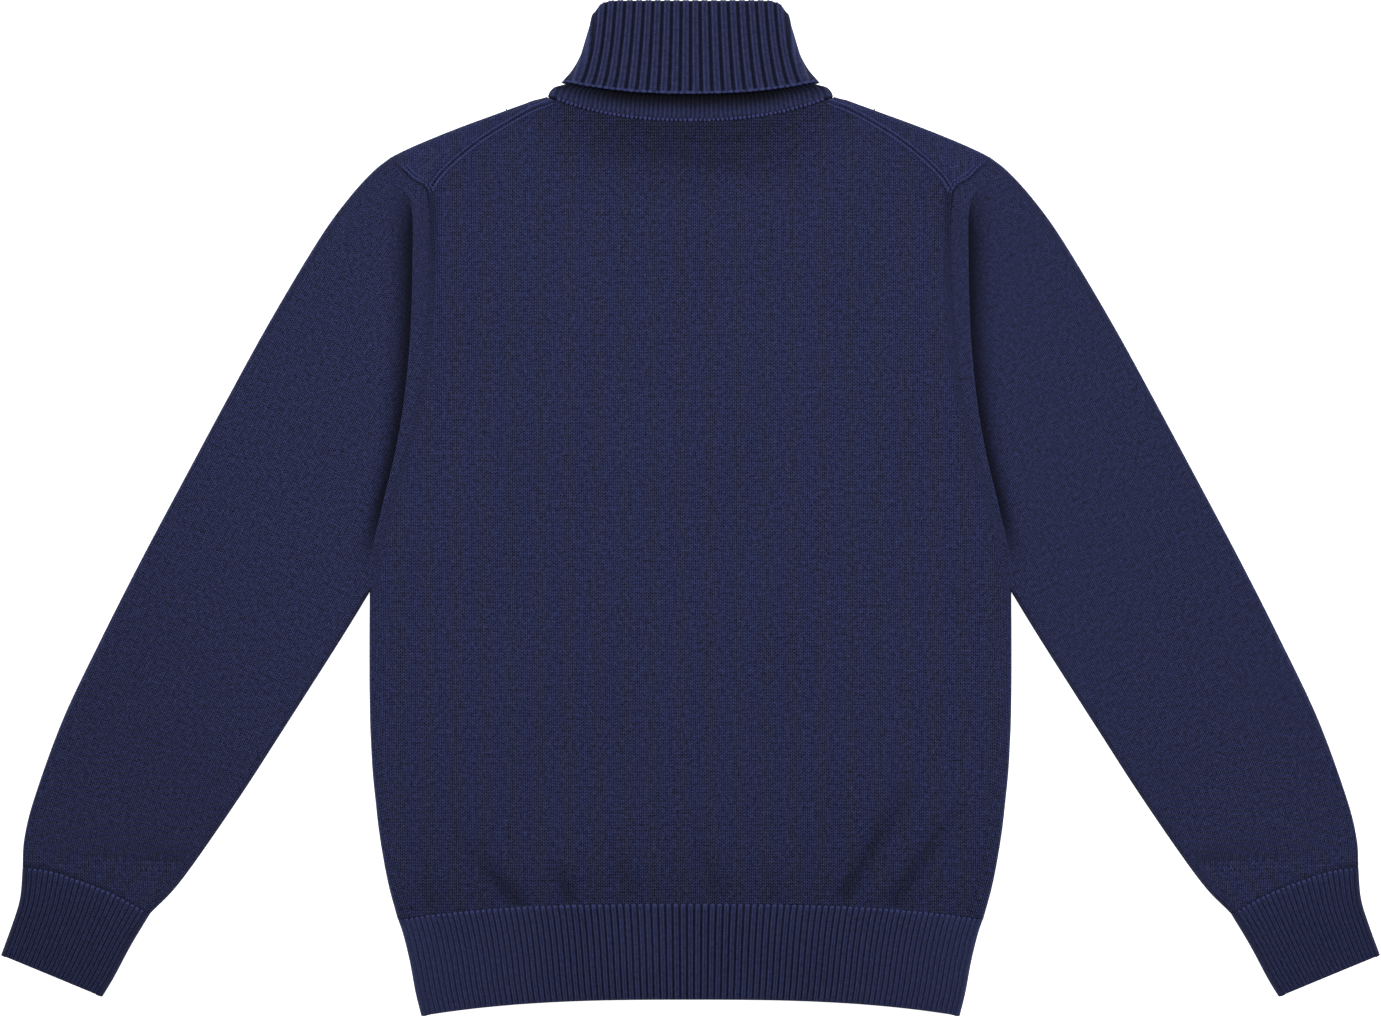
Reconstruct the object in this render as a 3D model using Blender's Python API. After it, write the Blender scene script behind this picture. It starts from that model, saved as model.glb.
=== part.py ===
"""Turtleneck sweater laid flat on its front, back upwards, at its real size.

Frame: +X towards the wearer's right, +Y towards the collar, +Z up from the surface.
The origin is on the surface, midway between the hem's corners and the collar's top.

Tables and sizes are in millimetres. A place in plan is (across, up): the distance
from the centre line, and the distance above the line through the hem's corners.
Every table gives the +X half, and the other half is its mirror image.
Cloth is a closed wall: a grid of points on its outer face, a coarser or equal grid
on its inner face, and a rim that joins them.
"""

import math
from collections.abc import Callable
from typing import NamedTuple

import bmesh
import bpy
import numpy as np

MM = 0.001

# ---------------------------------------------------------------- driving sizes
LENGTH = 760.8          # hem corners to the collar's top fold
CLOTH = 2.4             # thickness of the plain knit
SEAM = 0.15             # half of the gap left at a seam
RIM_LEAN = 0.5          # a ribbed piece's plain face stops this much short of its ribbed one
FOLD_HEIGHT = 7.6       # height of the rounded fold at every side edge
FOLD = FOLD_HEIGHT / 2  # its outer radius
SHARP_ANGLE = 40.0      # degrees between faces past which their edge shades as sharp
QUARTER = (0.0, 0.5, 1.0)                # steps round the quarter fold of a panel's edge
HALF_TURN = (1.0, 0.75, 0.5, 0.25, 0.0)  # steps round the half fold of a tube, from its top

HEM_HALF = 202.1        # half width at the hem's lower corners
HEM_RISE = 12.2         # the hem's lower edge rises this much at the centre line
HEM_BOW = 2.75          # power of that rise
RIB_TOP_HALF = 219.8    # half width at the seam between body and hem rib
RIB_TOP_SIDE = 72.6     # height of that seam at the side, and at the centre line
RIB_TOP_MIDDLE = 84.2
RIB_TOP_BOW = 2.8
HEM_RIBS = 93
HEM_RIB_SPREAD = 0.166  # how much wider its ribs are in the middle than at the sides
SIDE_SHARE = 0.44       # share of a body panel's side edge that is side seam; the rest is armhole
BODY_HALF = 240.0       # half width of the body, which turns a column into a distance
BACK_LEVEL = 6.9        # height of the back's outer face away from its seams
BACK_WAVE = 0.25        # it is uneven by this much, over these lengths across and up
BACK_WAVE_ACROSS = 61.0
BACK_WAVE_UP = 83.0
HEM_SWELL = 1.2         # it swells above the hem rib, this far up from the seam and so wide
HEM_SWELL_UP = 26.0
HEM_SWELL_WIDTH = 17.0
HEM_DIP = 0.35          # and dips at that seam
HEM_DIP_WIDTH = 6.0
NECK_RISE_WIDTH = 16.0  # it rises to the neck seam over this width
EDGE_RISE_WIDTH = 26.0  # and to its side edges over this one
SLEEVE_LEVEL = 7.5      # height of the sleeve's outer face
SLEEVE_SAG = 0.5        # it sags this much between its sides
SLEEVE_SWELL = 0.8      # and swells above the cuff, and dips at the cuff seam
SLEEVE_DIP = 0.7
SAG_START = 0.4         # shares of its length: where the sag is full, where it swells and how widely
SWELL_AT = 0.94
SWELL_WIDTH = 0.035
DIP_WIDTH = 0.012
ARMHOLE_RISE = 1.0      # the armhole seam is thicker than a fold by this much
ARMHOLE_RISE_SHARES = (0.09, 0.1)  # shares of it, at its top and underarm, over which that grows
LIP_RISE = 0.3          # and the cloth beside it by this much more, over this width
LIP_WIDTH = 6.0
LIP_NEAR = 3.0          # the crease starts this far from the seam at its ends
LIP_REACH = 8.3         # and this much further at its middle
LIP_START = (0.02, 0.1)     # shares of the armhole where that reach begins, and over which it grows
LIP_END = (0.5, 0.45)       # and where it starts to end, and over which it ends
CREASE_DEPTH = 3.4      # the crease in the sleeve beside the armhole
CREASE_FALL = 4.0       # how far it takes to fall, and to rise again
CREASE_RISE = 26.0
CUFF_RIBS = 23
TRIM_RIB = 0.9          # height of a rib on hem and cuffs
TRIM_VALLEY = 6.7       # height of the grooves between them
SHARP_RIB = ((0.0, 0.0), (0.5, 1.0))  # (share of a rib's pitch, share of its height)

NECK_HALF = 107.3       # half width of the neck seam, out to the shoulder fold
NECK_STRAIGHT = 102.95  # half width of its part between the folds
NECK_SIDE = 689.4       # its height at the side, behind and in front
NECK_BACK = 670.7
NECK_FRONT = 623.4
NECK_BOW = 2.4          # power of the curve between side and middle
NECK_CORNER = 100.9     # where the shoulder seam starts, across
NECK_TOP = 8.2          # height of the cloth at the back neck seam
NECK_SHARE = 0.42       # share of the panel's columns that end on the neck seam

CLOSE = 1e-6            # shares nearer than this are the same

COLLAR_CLOTH = 2.6
COLLAR_GAP = 0.5        # air between the collar's two layers
COLLAR_RIBS = 22        # ribs across its back
COLLAR_RIB = 1.2
BROAD_RIB = ((0.0, 0.0), (0.3, 1.0), (0.7, 1.0))


class Spot(NamedTuple):
    """A point of an outline in plan."""

    across: float
    up: float


SIDE_SEAM = (
    Spot(RIB_TOP_HALF, RIB_TOP_SIDE), Spot(227.6, 102.2), Spot(232.9, 132.2), Spot(236.6, 162.2),
    Spot(239.3, 192.2), Spot(240.9, 237.0), Spot(241.1, 282.0), Spot(240.8, 318.4),
)
ARMHOLE = (  # from the shoulder point, past the shoulder seam's end, to the underarm
    Spot(223.9, 642.2), Spot(210.0, 629.1), Spot(196.2, 615.5), Spot(195.2, 567.0), Spot(197.6, 514.7),
    Spot(202.9, 469.7), Spot(211.9, 432.2), Spot(223.9, 394.7), Spot(234.4, 357.2), Spot(240.8, 318.4),
)
SHOULDER_FOLD = (
    Spot(106.9, 688.7), Spot(121.0, 684.9), Spot(144.4, 676.7), Spot(180.4, 663.2), Spot(211.5, 649.7),
    Spot(223.9, 642.2),
)
SHOULDER_SEAM = (
    Spot(NECK_CORNER, 686.8), Spot(119.0, 680.0), Spot(139.0, 669.0), Spot(157.9, 657.0),
    Spot(176.6, 642.0), Spot(190.0, 628.0), Spot(196.2, 615.5),
)
SLEEVE_OUTER = (
    Spot(223.9, 642.2), Spot(237.0, 631.7), Spot(255.4, 612.2), Spot(277.9, 582.2), Spot(315.4, 522.2),
    Spot(348.4, 462.2), Spot(380.6, 402.2), Spot(412.5, 342.2), Spot(442.9, 282.2), Spot(471.4, 222.2),
    Spot(493.1, 162.2), Spot(500.3, 132.2), Spot(501.4, 112.0),
)
SLEEVE_INNER = (
    Spot(240.8, 318.4), Spot(262.9, 282.2), Spot(301.1, 222.2), Spot(339.8, 162.2), Spot(381.8, 102.2),
    Spot(405.4, 77.0),
)
CUFF_SEAM = (
    Spot(501.4, 112.0), Spot(481.0, 109.4), Spot(455.0, 100.9), Spot(430.0, 90.6), Spot(405.4, 77.0),
)
CUFF_OUTER = (Spot(501.4, 112.0), Spot(503.3, 88.7), Spot(508.5, 70.7), Spot(517.5, 45.9))
CUFF_INNER = (Spot(405.4, 77.0), Spot(420.0, 52.7), Spot(432.8, 28.7), Spot(441.4, 14.4))
CUFF_END = (Spot(517.5, 45.9), Spot(479.5, 30.2), Spot(441.4, 14.4))
HEM_SIDE = (
    Spot(HEM_HALF, 0.0), Spot(206.3, 16.7), Spot(210.8, 40.7), Spot(215.8, 61.0),
    Spot(RIB_TOP_HALF, RIB_TOP_SIDE),
)


class Gather(NamedTuple):
    """A soft trough in the back panel, from its upper end to its lower one."""

    across: float
    up: float
    to_across: float
    to_up: float
    depth: float
    width: float


GATHERS = (
    Gather(-203.0, 118.0, -196.0, 86.0, 0.7, 7.0),
    Gather(-184.0, 160.0, -128.0, 84.0, 1.7, 9.0),
    Gather(-115.0, 166.0, -90.0, 88.0, 1.4, 9.0),
    Gather(-60.0, 138.0, -43.0, 96.0, 0.8, 9.0),
    Gather(4.0, 146.0, 24.0, 88.0, 0.8, 10.0),
    Gather(60.0, 110.0, 61.0, 88.0, 0.6, 7.0),
    Gather(162.0, 170.0, 116.0, 92.0, 1.8, 9.0),
    Gather(204.0, 150.0, 152.0, 88.0, 1.5, 9.0),
    Gather(-74.0, 649.0, 52.0, 640.0, 0.8, 7.0),
    Gather(-40.0, 628.0, 70.0, 631.0, 0.5, 7.0),
)


class Ring(NamedTuple):
    """One section of the collar's cloth, placed by the line midway between its layers."""

    half: float     # half width of that line
    side: float     # its height in plan at the side, behind and in front
    back: float
    front: float
    bow: float      # power of the curve between them
    low: float      # its height above the surface in front and behind
    high: float
    turn: float     # degrees round the top fold: 0 on the inner layer, 180 on the outer one
    inner_rib: float  # share of the ribs' height on the face towards that line, None if plain
    outer_rib: float  # and on the face away from it


COLLAR_RINGS = (
    Ring(NECK_HALF, NECK_SIDE + 0.3, NECK_BACK + 0.3, NECK_FRONT + 0.3, NECK_BOW, -0.25, 8.45, 0, 0, None),
    Ring(104.9, 692.5, 674.9, 640.0, 2.3, -0.25, 9.0, 0, 1, None),
    Ring(92.2, 697.8, 689.0, 676.0, 2.3, 2.85, 10.3, 0, 1, None),
    Ring(84.0, 709.0, 708.0, 696.0, 2.3, 2.85, 10.95, 0, None, None),
    Ring(77.2, 724.0, 733.0, 722.0, 4.0, 2.85, 10.95, 0, None, None),
    Ring(71.0, 748.0, 757.4, 741.0, 6.0, 2.85, 10.95, 0, None, None),
    Ring(70.2, 749.6, 757.75, 742.0, 6.0, 2.85, 10.95, 60, None, 0.4),
    Ring(70.2, 749.6, 757.75, 742.0, 6.0, 2.85, 10.95, 120, None, 0.8),
    Ring(71.0, 748.0, 757.4, 741.0, 6.0, 2.85, 10.95, 180, None, 1),
    Ring(77.2, 724.0, 733.0, 728.0, 4.0, 2.85, 11.2, 180, None, 1),
    Ring(85.0, 709.0, 708.0, 707.0, 2.3, 2.85, 12.6, 180, None, 1),
    Ring(91.8, 700.9, 692.3, 698.5, 2.3, 2.85, 14.55, 180, None, 1),
    Ring(93.2, 699.2, 690.1, 697.0, 2.3, 2.85, 14.8, 180, None, 0),
)


# ---------------------------------------------------------------- plan curves
def smooth_step(x):
    x = min(max(x, 0.0), 1.0)
    return x * x * (3 - 2 * x)


class Curve:
    """A smooth curve through a few plan points, read by its share of length."""

    def __init__(self, spots, steps=16):
        p = [np.array(s, float) for s in spots]
        p = [2 * p[0] - p[1], *p, 2 * p[-1] - p[-2]]
        dense = [p[1]]
        for i in range(1, len(p) - 2):
            for k in range(1, steps + 1):
                t = k / steps
                ahead, behind = (p[i + 1] - p[i - 1]) / 2, (p[i + 2] - p[i]) / 2
                dense.append(
                    (2 * t**3 - 3 * t**2 + 1) * p[i] + (t**3 - 2 * t**2 + t) * ahead
                    + (3 * t**2 - 2 * t**3) * p[i + 1] + (t**3 - t**2) * behind
                )
        self.points = np.array(dense)
        run = np.linalg.norm(np.diff(self.points, axis=0), axis=1)
        self.run = np.concatenate([[0], np.cumsum(run)])
        self.length = self.run[-1]

    def at(self, share):
        s = share * self.length
        return np.array([np.interp(s, self.run, self.points[:, k]) for k in (0, 1)])

    def normal(self, share):
        """The unit normal to the left of the way along."""
        d = self.at(min(share + 0.01, 1)) - self.at(max(share - 0.01, 0))
        return np.array([-d[1], d[0]]) / np.linalg.norm(d)

    def share_near(self, spot):
        far = np.linalg.norm(self.points - np.array(spot, float), axis=1)
        return self.run[int(far.argmin())] / self.length


SIDE = Curve(SIDE_SEAM)
ARM = Curve(ARMHOLE)
ARM_CORNER = ARM.share_near(SHOULDER_SEAM[-1])  # where the shoulder seam ends
FOLD_LINE = Curve(SHOULDER_FOLD)
SHOULDER = Curve(SHOULDER_SEAM)
OUTER, INNER, CUFF_TOP = Curve(SLEEVE_OUTER), Curve(SLEEVE_INNER), Curve(CUFF_SEAM)
CUFF_SIDES = Curve(CUFF_OUTER), Curve(CUFF_INNER)
CUFF_EDGE = Curve(CUFF_END)
HEM_SIDES = Curve(HEM_SIDE)

# Samples along the armhole, as shares from the shoulder point to the underarm.
ARM_FINE = (0.055, ARM_CORNER, 0.18, 0.26, 0.34, 0.42, 0.5, 0.58, 0.66, 0.74, 0.82, 0.89, 0.95)
ARM_COARSE = ARM_FINE[1::2]
ARM_TURN = FOLD / ARM.length  # the fold's radius, as a share of the armhole


def across_blend(start, finish, first, last, a, b, hold=1):
    """A plan point at share a from side first to side last, and b from start to finish.

    start and finish give the shape of the two ends; hold says how fast the first fades.
    """
    ruled = (1 - a) * first(b) + a * last(b)
    bend_start = start(a) - (1 - a) * start(0) - a * start(1)
    bend_finish = finish(a) - (1 - a) * finish(0) - a * finish(1)
    return ruled + (1 - b) ** hold * bend_start + b * bend_finish


def rib_top_up(x):
    return RIB_TOP_MIDDLE - (RIB_TOP_MIDDLE - RIB_TOP_SIDE) * abs(x / RIB_TOP_HALF) ** RIB_TOP_BOW


def hem_up(x):
    return HEM_RISE * (1 - abs(x / HEM_HALF) ** HEM_BOW)


def neck_up(x, middle):
    return NECK_SIDE + (middle - NECK_SIDE) * (1 - min(abs(x / NECK_HALF), 1) ** NECK_BOW)


def mirrored(p, side):
    return np.array([p[0] * side, p[1]])


def shifted(curve, at_start, at_end):
    """A curve whose two ends are moved, to leave a seam's gap."""
    return lambda share: curve.at(share) + at_start * (1 - share) + at_end * share


UP = np.array([0.0, 1.0])


# ---------------------------------------------------------------- heights
def hump(distance, width):
    """1 at distance 0, fading to nothing over about twice the width."""
    return math.exp(-((distance / width) ** 2))


def armhole_top(a):
    """Height of the cloth along the armhole seam."""
    top, underarm = ARMHOLE_RISE_SHARES
    rise = smooth_step((a - ARM_TURN) / top) * smooth_step((1 - ARM_TURN - a) / underarm)
    return FOLD_HEIGHT + ARMHOLE_RISE * rise


def trough(x, up, g):
    """Depth of one gather at a plan point."""
    a, d = np.array([g.across, g.up]), np.array([g.to_across - g.across, g.to_up - g.up])
    p = np.array([x, up]) - a
    t = float(np.clip(p @ d / (d @ d), 0, 1))
    return g.depth * hump(float(np.linalg.norm(p - t * d)), g.width)


def back_top(x, up, u, v):
    """Height of the back panel's outer face. u runs across it, and v up its side edge."""
    above_rib = up - rib_top_up(x)
    below_neck = max(neck_up(x, NECK_BACK) - up, 0)
    level = BACK_LEVEL + BACK_WAVE * math.cos(x / BACK_WAVE_ACROSS) * math.sin(up / BACK_WAVE_UP)
    level += HEM_SWELL * hump(above_rib - HEM_SWELL_UP, HEM_SWELL_WIDTH)
    level -= HEM_DIP * hump(above_rib, HEM_DIP_WIDTH)
    if abs(x) < NECK_HALF:
        level += (NECK_TOP - BACK_LEVEL) * hump(below_neck, NECK_RISE_WIDTH)
    level -= sum(trough(x, up, g) for g in GATHERS)
    edge = FOLD_HEIGHT if v <= SIDE_SHARE else armhole_top(BACK.arm_share(v))
    near = hump((1 - abs(u)) * BODY_HALF, EDGE_RISE_WIDTH)
    return min(level * (1 - near) + edge * near, 2 * CLOTH + FOLD)


def lip_distance(a):
    """How far from the armhole seam the sleeve's crease begins."""
    grown = smooth_step((a - LIP_START[0]) / LIP_START[1])
    ended = smooth_step((a - LIP_END[0]) / LIP_END[1])
    return LIP_NEAR + LIP_REACH * grown * (1 - ended)


def sleeve_top(a, b, distance):
    """Height of the sleeve's outer face. distance is how far it is from the armhole seam."""
    across = math.sin(math.pi * a)
    level = SLEEVE_LEVEL - SLEEVE_SAG * across**2 * smooth_step(b / SAG_START)
    level += SLEEVE_SWELL * across * hump(b - SWELL_AT, SWELL_WIDTH)
    level -= SLEEVE_DIP * across * hump(b - 1, DIP_WIDTH)
    past_lip = distance - lip_distance(a)
    amount = smooth_step((a - 0.05) / 0.13) * smooth_step((0.97 - a) / 0.2)
    crest = armhole_top(a) + LIP_RISE * amount
    if past_lip <= CREASE_FALL:
        rise = LIP_RISE * amount * smooth_step(distance / LIP_WIDTH)
        return armhole_top(a) + rise - CREASE_DEPTH * amount * smooth_step(past_lip / CREASE_FALL)
    low = crest - CREASE_DEPTH * amount
    return low + (level - low) * smooth_step((past_lip - CREASE_FALL) / CREASE_RISE)


# ---------------------------------------------------------------- walls
def strip_between(one, two, points):
    """Triangles between two rows of point numbers, each step by the shorter diagonal."""
    made, i, j = [], 0, 0
    while i < len(one) - 1 or j < len(two) - 1:
        if j == len(two) - 1:
            step_one = True
        elif i == len(one) - 1:
            step_one = False
        else:
            along_one = math.dist(points[one[i + 1]], points[two[j]])
            step_one = along_one <= math.dist(points[one[i]], points[two[j + 1]])
        if step_one:
            made.append((one[i], one[i + 1], two[j]))
            i += 1
        else:
            made.append((one[i], two[j + 1], two[j]))
            j += 1
    return made


def face_strips(grid, points):
    """Faces over a grid of rows of point numbers, whose rows may differ in count."""
    made = []
    for low, high in zip(grid, grid[1:]):
        if len(low) == len(high):
            made += [(low[k], low[k + 1], high[k + 1], high[k]) for k in range(len(low) - 1)]
        else:
            made += strip_between(low, high, points)
    return made


def wall(name, outer, inner, material, closed=False, side=1):
    """One closed piece of cloth from its outer and inner grids, rows of (x, up, z).

    closed joins each row's ends, as on a tube. side -1 makes the mirror image.
    """
    points, grids = [], []
    for grid in (outer, inner):
        numbered = []
        for row in grid:
            numbers = list(range(len(points), len(points) + len(row)))
            numbered.append(numbers + numbers[:1] if closed else numbers)
            points.extend(row)
        grids.append(numbered)
    out, inn = grids
    faces = face_strips(out, points) + [f[::-1] for f in face_strips(inn, points)]
    faces += [f[::-1] for f in strip_between(out[0], inn[0], points)]
    faces += strip_between(out[-1], inn[-1], points)
    if not closed:
        faces += strip_between([r[0] for r in out], [r[0] for r in inn], points)
        faces += [f[::-1] for f in strip_between([r[-1] for r in out], [r[-1] for r in inn], points)]
    mesh = bpy.data.meshes.new(name)
    mesh.from_pydata([(side * x * MM, (up - LENGTH / 2) * MM, z * MM) for x, up, z in points], [], faces)
    work = bmesh.new()
    work.from_mesh(mesh)
    if work.calc_volume(signed=True) < 0:
        bmesh.ops.reverse_faces(work, faces=work.faces)
    work.to_mesh(mesh)
    work.free()
    mesh.materials.append(material)
    mesh.shade_smooth()
    mesh.set_sharp_from_angle(angle=math.radians(SHARP_ANGLE))
    made = bpy.data.objects.new(name, mesh)
    bpy.context.scene.collection.objects.link(made)
    return made


def unit(p):
    return p / np.linalg.norm(p)


def both_sides(values):
    return [-x for x in values[::-1]] + [x for x in values if x]


def rib_columns(count, profile):
    """Shares of the way across count ribs, with the share of the rib's height at each."""
    made = [((k + at) / count, height) for k in range(count) for at, height in profile]
    return [*made, (1.0, profile[0][1])]


# ---------------------------------------------------------------- flat panels
EDGE_COLUMN = 1 - FOLD / BODY_HALF  # the column where a panel's side edge starts to roll


class Panel(NamedTuple):
    """A body panel: where its columns end, and how it lies."""

    end: Callable       # plan point at the end of a column
    arm_end: float      # share of the armhole where its side edge ends
    height: Callable    # height of its outer face at (x, up, u, v)
    cloth: float        # thickness, downwards for an upper panel
    seam_height: float  # where its rolled side edge meets the other panel

    def arm_share(self, v):
        return 1 - (1 - self.arm_end) * (v - SIDE_SHARE) / (1 - SIDE_SHARE)

    def edge(self, v):
        """The panel's +X edge: up the side seam, then up the armhole."""
        if v <= SIDE_SHARE:
            return shifted(SIDE, SEAM * UP, -SEAM * ARM.normal(1))(v / SIDE_SHARE)
        a = self.arm_share(v)
        corner = SEAM * SHOULDER.normal(1) if a <= ARM_CORNER + CLOSE and self.cloth < 0 else 0
        return ARM.at(a) - SEAM * ARM.normal(a) - corner

    def rolled_share(self, v):
        """How far the edge is rolled: all the way below the underarm, not at all above it."""
        if v <= SIDE_SHARE:
            return 1.0
        past = (1 - self.arm_share(v)) * ARM.length / FOLD
        return 0.0 if past >= 1 else 1 - math.sqrt(1 - (1 - past) ** 2)

    def plan(self, u, v):
        """Plan point of column u, from -1 to 1, and row v, from the hem rib up."""
        return across_blend(
            lambda a: np.array([(2 * a - 1) * RIB_TOP_HALF, rib_top_up((2 * a - 1) * RIB_TOP_HALF)]),
            lambda a: self.end(2 * a - 1),
            lambda b: mirrored(self.edge(b), -1),
            self.edge,
            (u + 1) / 2, v,
        )

    def row(self, v, columns):
        """Outer and inner points of row v, with its two rolled edges."""
        outer, inner = [], []
        for side in (-1, 1):
            edge = mirrored(self.edge(v), side)
            inward = unit(self.plan(side * EDGE_COLUMN, v) - edge)
            flat = self.height(*(edge + inward * FOLD), side * EDGE_COLUMN, v)
            turns = rolled_edge(edge, inward, self.rolled_share(v), flat, self.seam_height, self.cloth)
            if side < 0:
                turns = turns[::-1]
            outer += [t[0] for t in turns]
            inner += [t[1] for t in turns]
            if side < 0:
                for u in columns:
                    p = self.plan(u, v)
                    z = self.height(*p, u, v)
                    outer.append((*p, z))
                    inner.append((*p, z + self.cloth))
        return outer, inner

    def rows(self, side_shares, arm_shares):
        """Row values up the side seam, round the underarm fold and up the armhole."""
        fold = [1 - ARM_TURN * (1 - math.sin(math.pi / 4)), 1 - ARM_TURN]
        up_arm = [a for a in [*fold, *arm_shares[::-1]] if a > self.arm_end + CLOSE]
        made = [s * SIDE_SHARE for s in side_shares]
        made += [SIDE_SHARE + (1 - SIDE_SHARE) * (1 - a) / (1 - self.arm_end) for a in up_arm]
        return [*made, 1.0]


def rolled_edge(edge, inward, amount, flat, seam_height, cloth):
    """Outer and inner points of an edge that rolls to a seam at mid height, inside first."""
    made = []
    for step in QUARTER:
        angle = step * math.pi / 2
        outer_in = FOLD * (1 - math.sin(angle))
        inner_in = FOLD - (FOLD - CLOTH) * math.sin(angle)
        outer_z = flat + (seam_height - flat) * (1 - math.cos(angle)) * amount
        inner_z = flat + cloth + (seam_height - flat - cloth) * (1 - math.cos(angle))
        inner_z = (outer_z + cloth) * (1 - amount) + inner_z * amount
        inner_in = outer_in * (1 - amount) + inner_in * amount
        made.append(((*(edge + inward * outer_in), outer_z), (*(edge + inward * inner_in), inner_z)))
    return made


def shoulder_share(u):
    return (abs(u) - NECK_SHARE) / (1 - NECK_SHARE)


def back_end(u):
    """Where the back panel's column u ends: on the neck seam or the shoulder seam."""
    if abs(u) <= NECK_SHARE:
        x = u / NECK_SHARE * NECK_CORNER
        return np.array([x, neck_up(x, NECK_BACK) - SEAM])
    s = shoulder_share(u)
    return mirrored(SHOULDER.at(s) - SEAM * SHOULDER.normal(s), math.copysign(1, u))


BACK = Panel(back_end, ARM_CORNER, back_top, -CLOTH, FOLD + SEAM)
SHOULDER_COLUMNS = (0.5, 0.58, 0.67, 0.76, 0.85, 0.93)
BACK_NECK_COLUMNS = (0, 0.085, 0.17, 0.255, 0.34, NECK_SHARE)
BACK_SIDE_ROWS = (0, 0.03, 0.07, 0.12, 0.18, 0.25, 0.34, 0.48, 0.66, 0.84, 1)
FRONT_SIDE_ROWS = (0, 0.12, 0.34, 0.66, 1)


def build_back(material):
    columns = both_sides((*BACK_NECK_COLUMNS, *SHOULDER_COLUMNS))
    rows = [BACK.row(v, columns) for v in BACK.rows(BACK_SIDE_ROWS, ARM_FINE)]
    wall("back", [r[0] for r in rows], [r[1] for r in rows], material)


class NeckTurn(NamedTuple):
    """A column of the front, which wraps over the shoulder, that ends part of the way round."""

    column: float
    turn: float    # share of the half turn
    spread: float  # how far from the neck its flat part ends, along the fold


NECK_SPREAD = 6.2  # the same for the first column of the shoulder seam
NECK_TURNS = (NeckTurn(0.36, 0.25, 1.2), NeckTurn(0.38, 0.5, 2.6), NeckTurn(0.40, 0.75, 4.2))
NECK_FRONT_SHARES = (0, 0.27, 0.52, 0.76, 0.9)  # of the way out to the shoulder fold
FOLD_REACH = 10.0  # distance of the shoulder fold from the shoulder seam, near enough
WRAP_STEPS = 5
WRAP_EDGE = 0.2    # share of the last column's width in which the wrap's edge turns
NECK_STRIP = 10.0  # length of the short rows by the front neck seam


def fold_spot(u):
    """The shoulder fold's plan point for a column, and the way out over it."""
    s = shoulder_share(u)
    seam = SHOULDER.at(s)
    start = NECK_SPREAD / FOLD_LINE.length
    near = FOLD_LINE.share_near(seam + SHOULDER.normal(s) * FOLD_REACH)
    share = start + (1 - start) * (near * (1 - s**2) + s**2)
    spot = FOLD_LINE.at(share)
    return spot, unit((1 - s) * FOLD_LINE.normal(share) + s * unit(spot - seam))


def front_turn(u):
    """The row of NECK_TURNS for a column beside the neck, or None for any other."""
    return next((turn for turn in NECK_TURNS if abs(abs(u) - turn.column) < CLOSE), None)


def along_fold():
    return unit(FOLD_LINE.at(0.1) - FOLD_LINE.at(0))


def front_end(u):
    """Where the front's flat part ends, in plan."""
    side, u = math.copysign(1, u), abs(u)
    if front_turn(u):
        end = FOLD_LINE.at(0) - FOLD_LINE.normal(0) * FOLD + along_fold() * front_turn(u).spread
    elif u > 1 - CLOSE:
        end = ARM.at(ARM_TURN) - SEAM * ARM.normal(ARM_TURN)
    elif u >= NECK_SHARE - CLOSE:
        spot, way = fold_spot(u)
        end = spot - way * FOLD
    else:
        x = u / NECK_TURNS[0].column * NECK_STRAIGHT
        end = np.array([x, neck_up(x, NECK_FRONT) - NECK_STRIP])
    return mirrored(end, side)


def wrap_points(u):
    """Outer and inner points of a front column past its flat part."""
    side, u = math.copysign(1, u), abs(u)
    base, turn = front_end(u), front_turn(u)
    if u < NECK_TURNS[0].column - CLOSE:
        step = UP * (NECK_STRIP - SEAM) / WRAP_STEPS
        rows = [base + step * k for k in range(1, WRAP_STEPS + 1)]
        return [(p[0] * side, p[1], 0.0) for p in rows], [(p[0] * side, p[1], CLOTH) for p in rows]
    if turn:
        way = FOLD_LINE.normal(0)
        angles = [turn.turn * math.pi * k / WRAP_STEPS for k in range(1, WRAP_STEPS + 1)]
        drift = along_fold() * turn.spread
    else:
        way = unit(ARM.at(0) - ARM.at(ARM_TURN)) if u > 1 - CLOSE else fold_spot(u)[1]
        angles = [math.pi * k / (WRAP_STEPS - 1) for k in range(1, WRAP_STEPS)]
        drift = 0
    outer, inner = [], []
    for angle in angles:
        for made, radius in ((outer, FOLD), (inner, FOLD - CLOTH)):
            p = base + way * radius * math.sin(angle) - drift * angle / angles[-1]
            made.append((p[0] * side, p[1], FOLD - radius * math.cos(angle)))
    if not turn:
        s = shoulder_share(u)
        end = SHOULDER.at(s) + SEAM * SHOULDER.normal(s)
        if u > 1 - CLOSE:
            end = end - SEAM * ARM.normal(ARM_CORNER)
        z = back_top(*SHOULDER.at(s), u, 1)
        outer.append((end[0] * side, end[1], z))
        inner.append((end[0] * side, end[1], z - CLOTH))
    return outer, inner


def flat_on_surface(*_):
    return 0.0


FRONT = Panel(front_end, ARM_TURN, flat_on_surface, CLOTH, FOLD - SEAM)


def wrap_edge(side):
    """The wrap's columns at its armhole end, outermost first."""
    last, before = wrap_points(side), wrap_points(side * SHOULDER_COLUMNS[-1])
    made = []
    for step in QUARTER[::-1]:
        share = (1 - math.sin(step * math.pi / 2)) * WRAP_EDGE
        made.append([
            [tuple(np.array(a) * (1 - share) + np.array(b) * share) for a, b in zip(l, n)]
            for l, n in zip(last, before)
        ])
    return made


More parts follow.
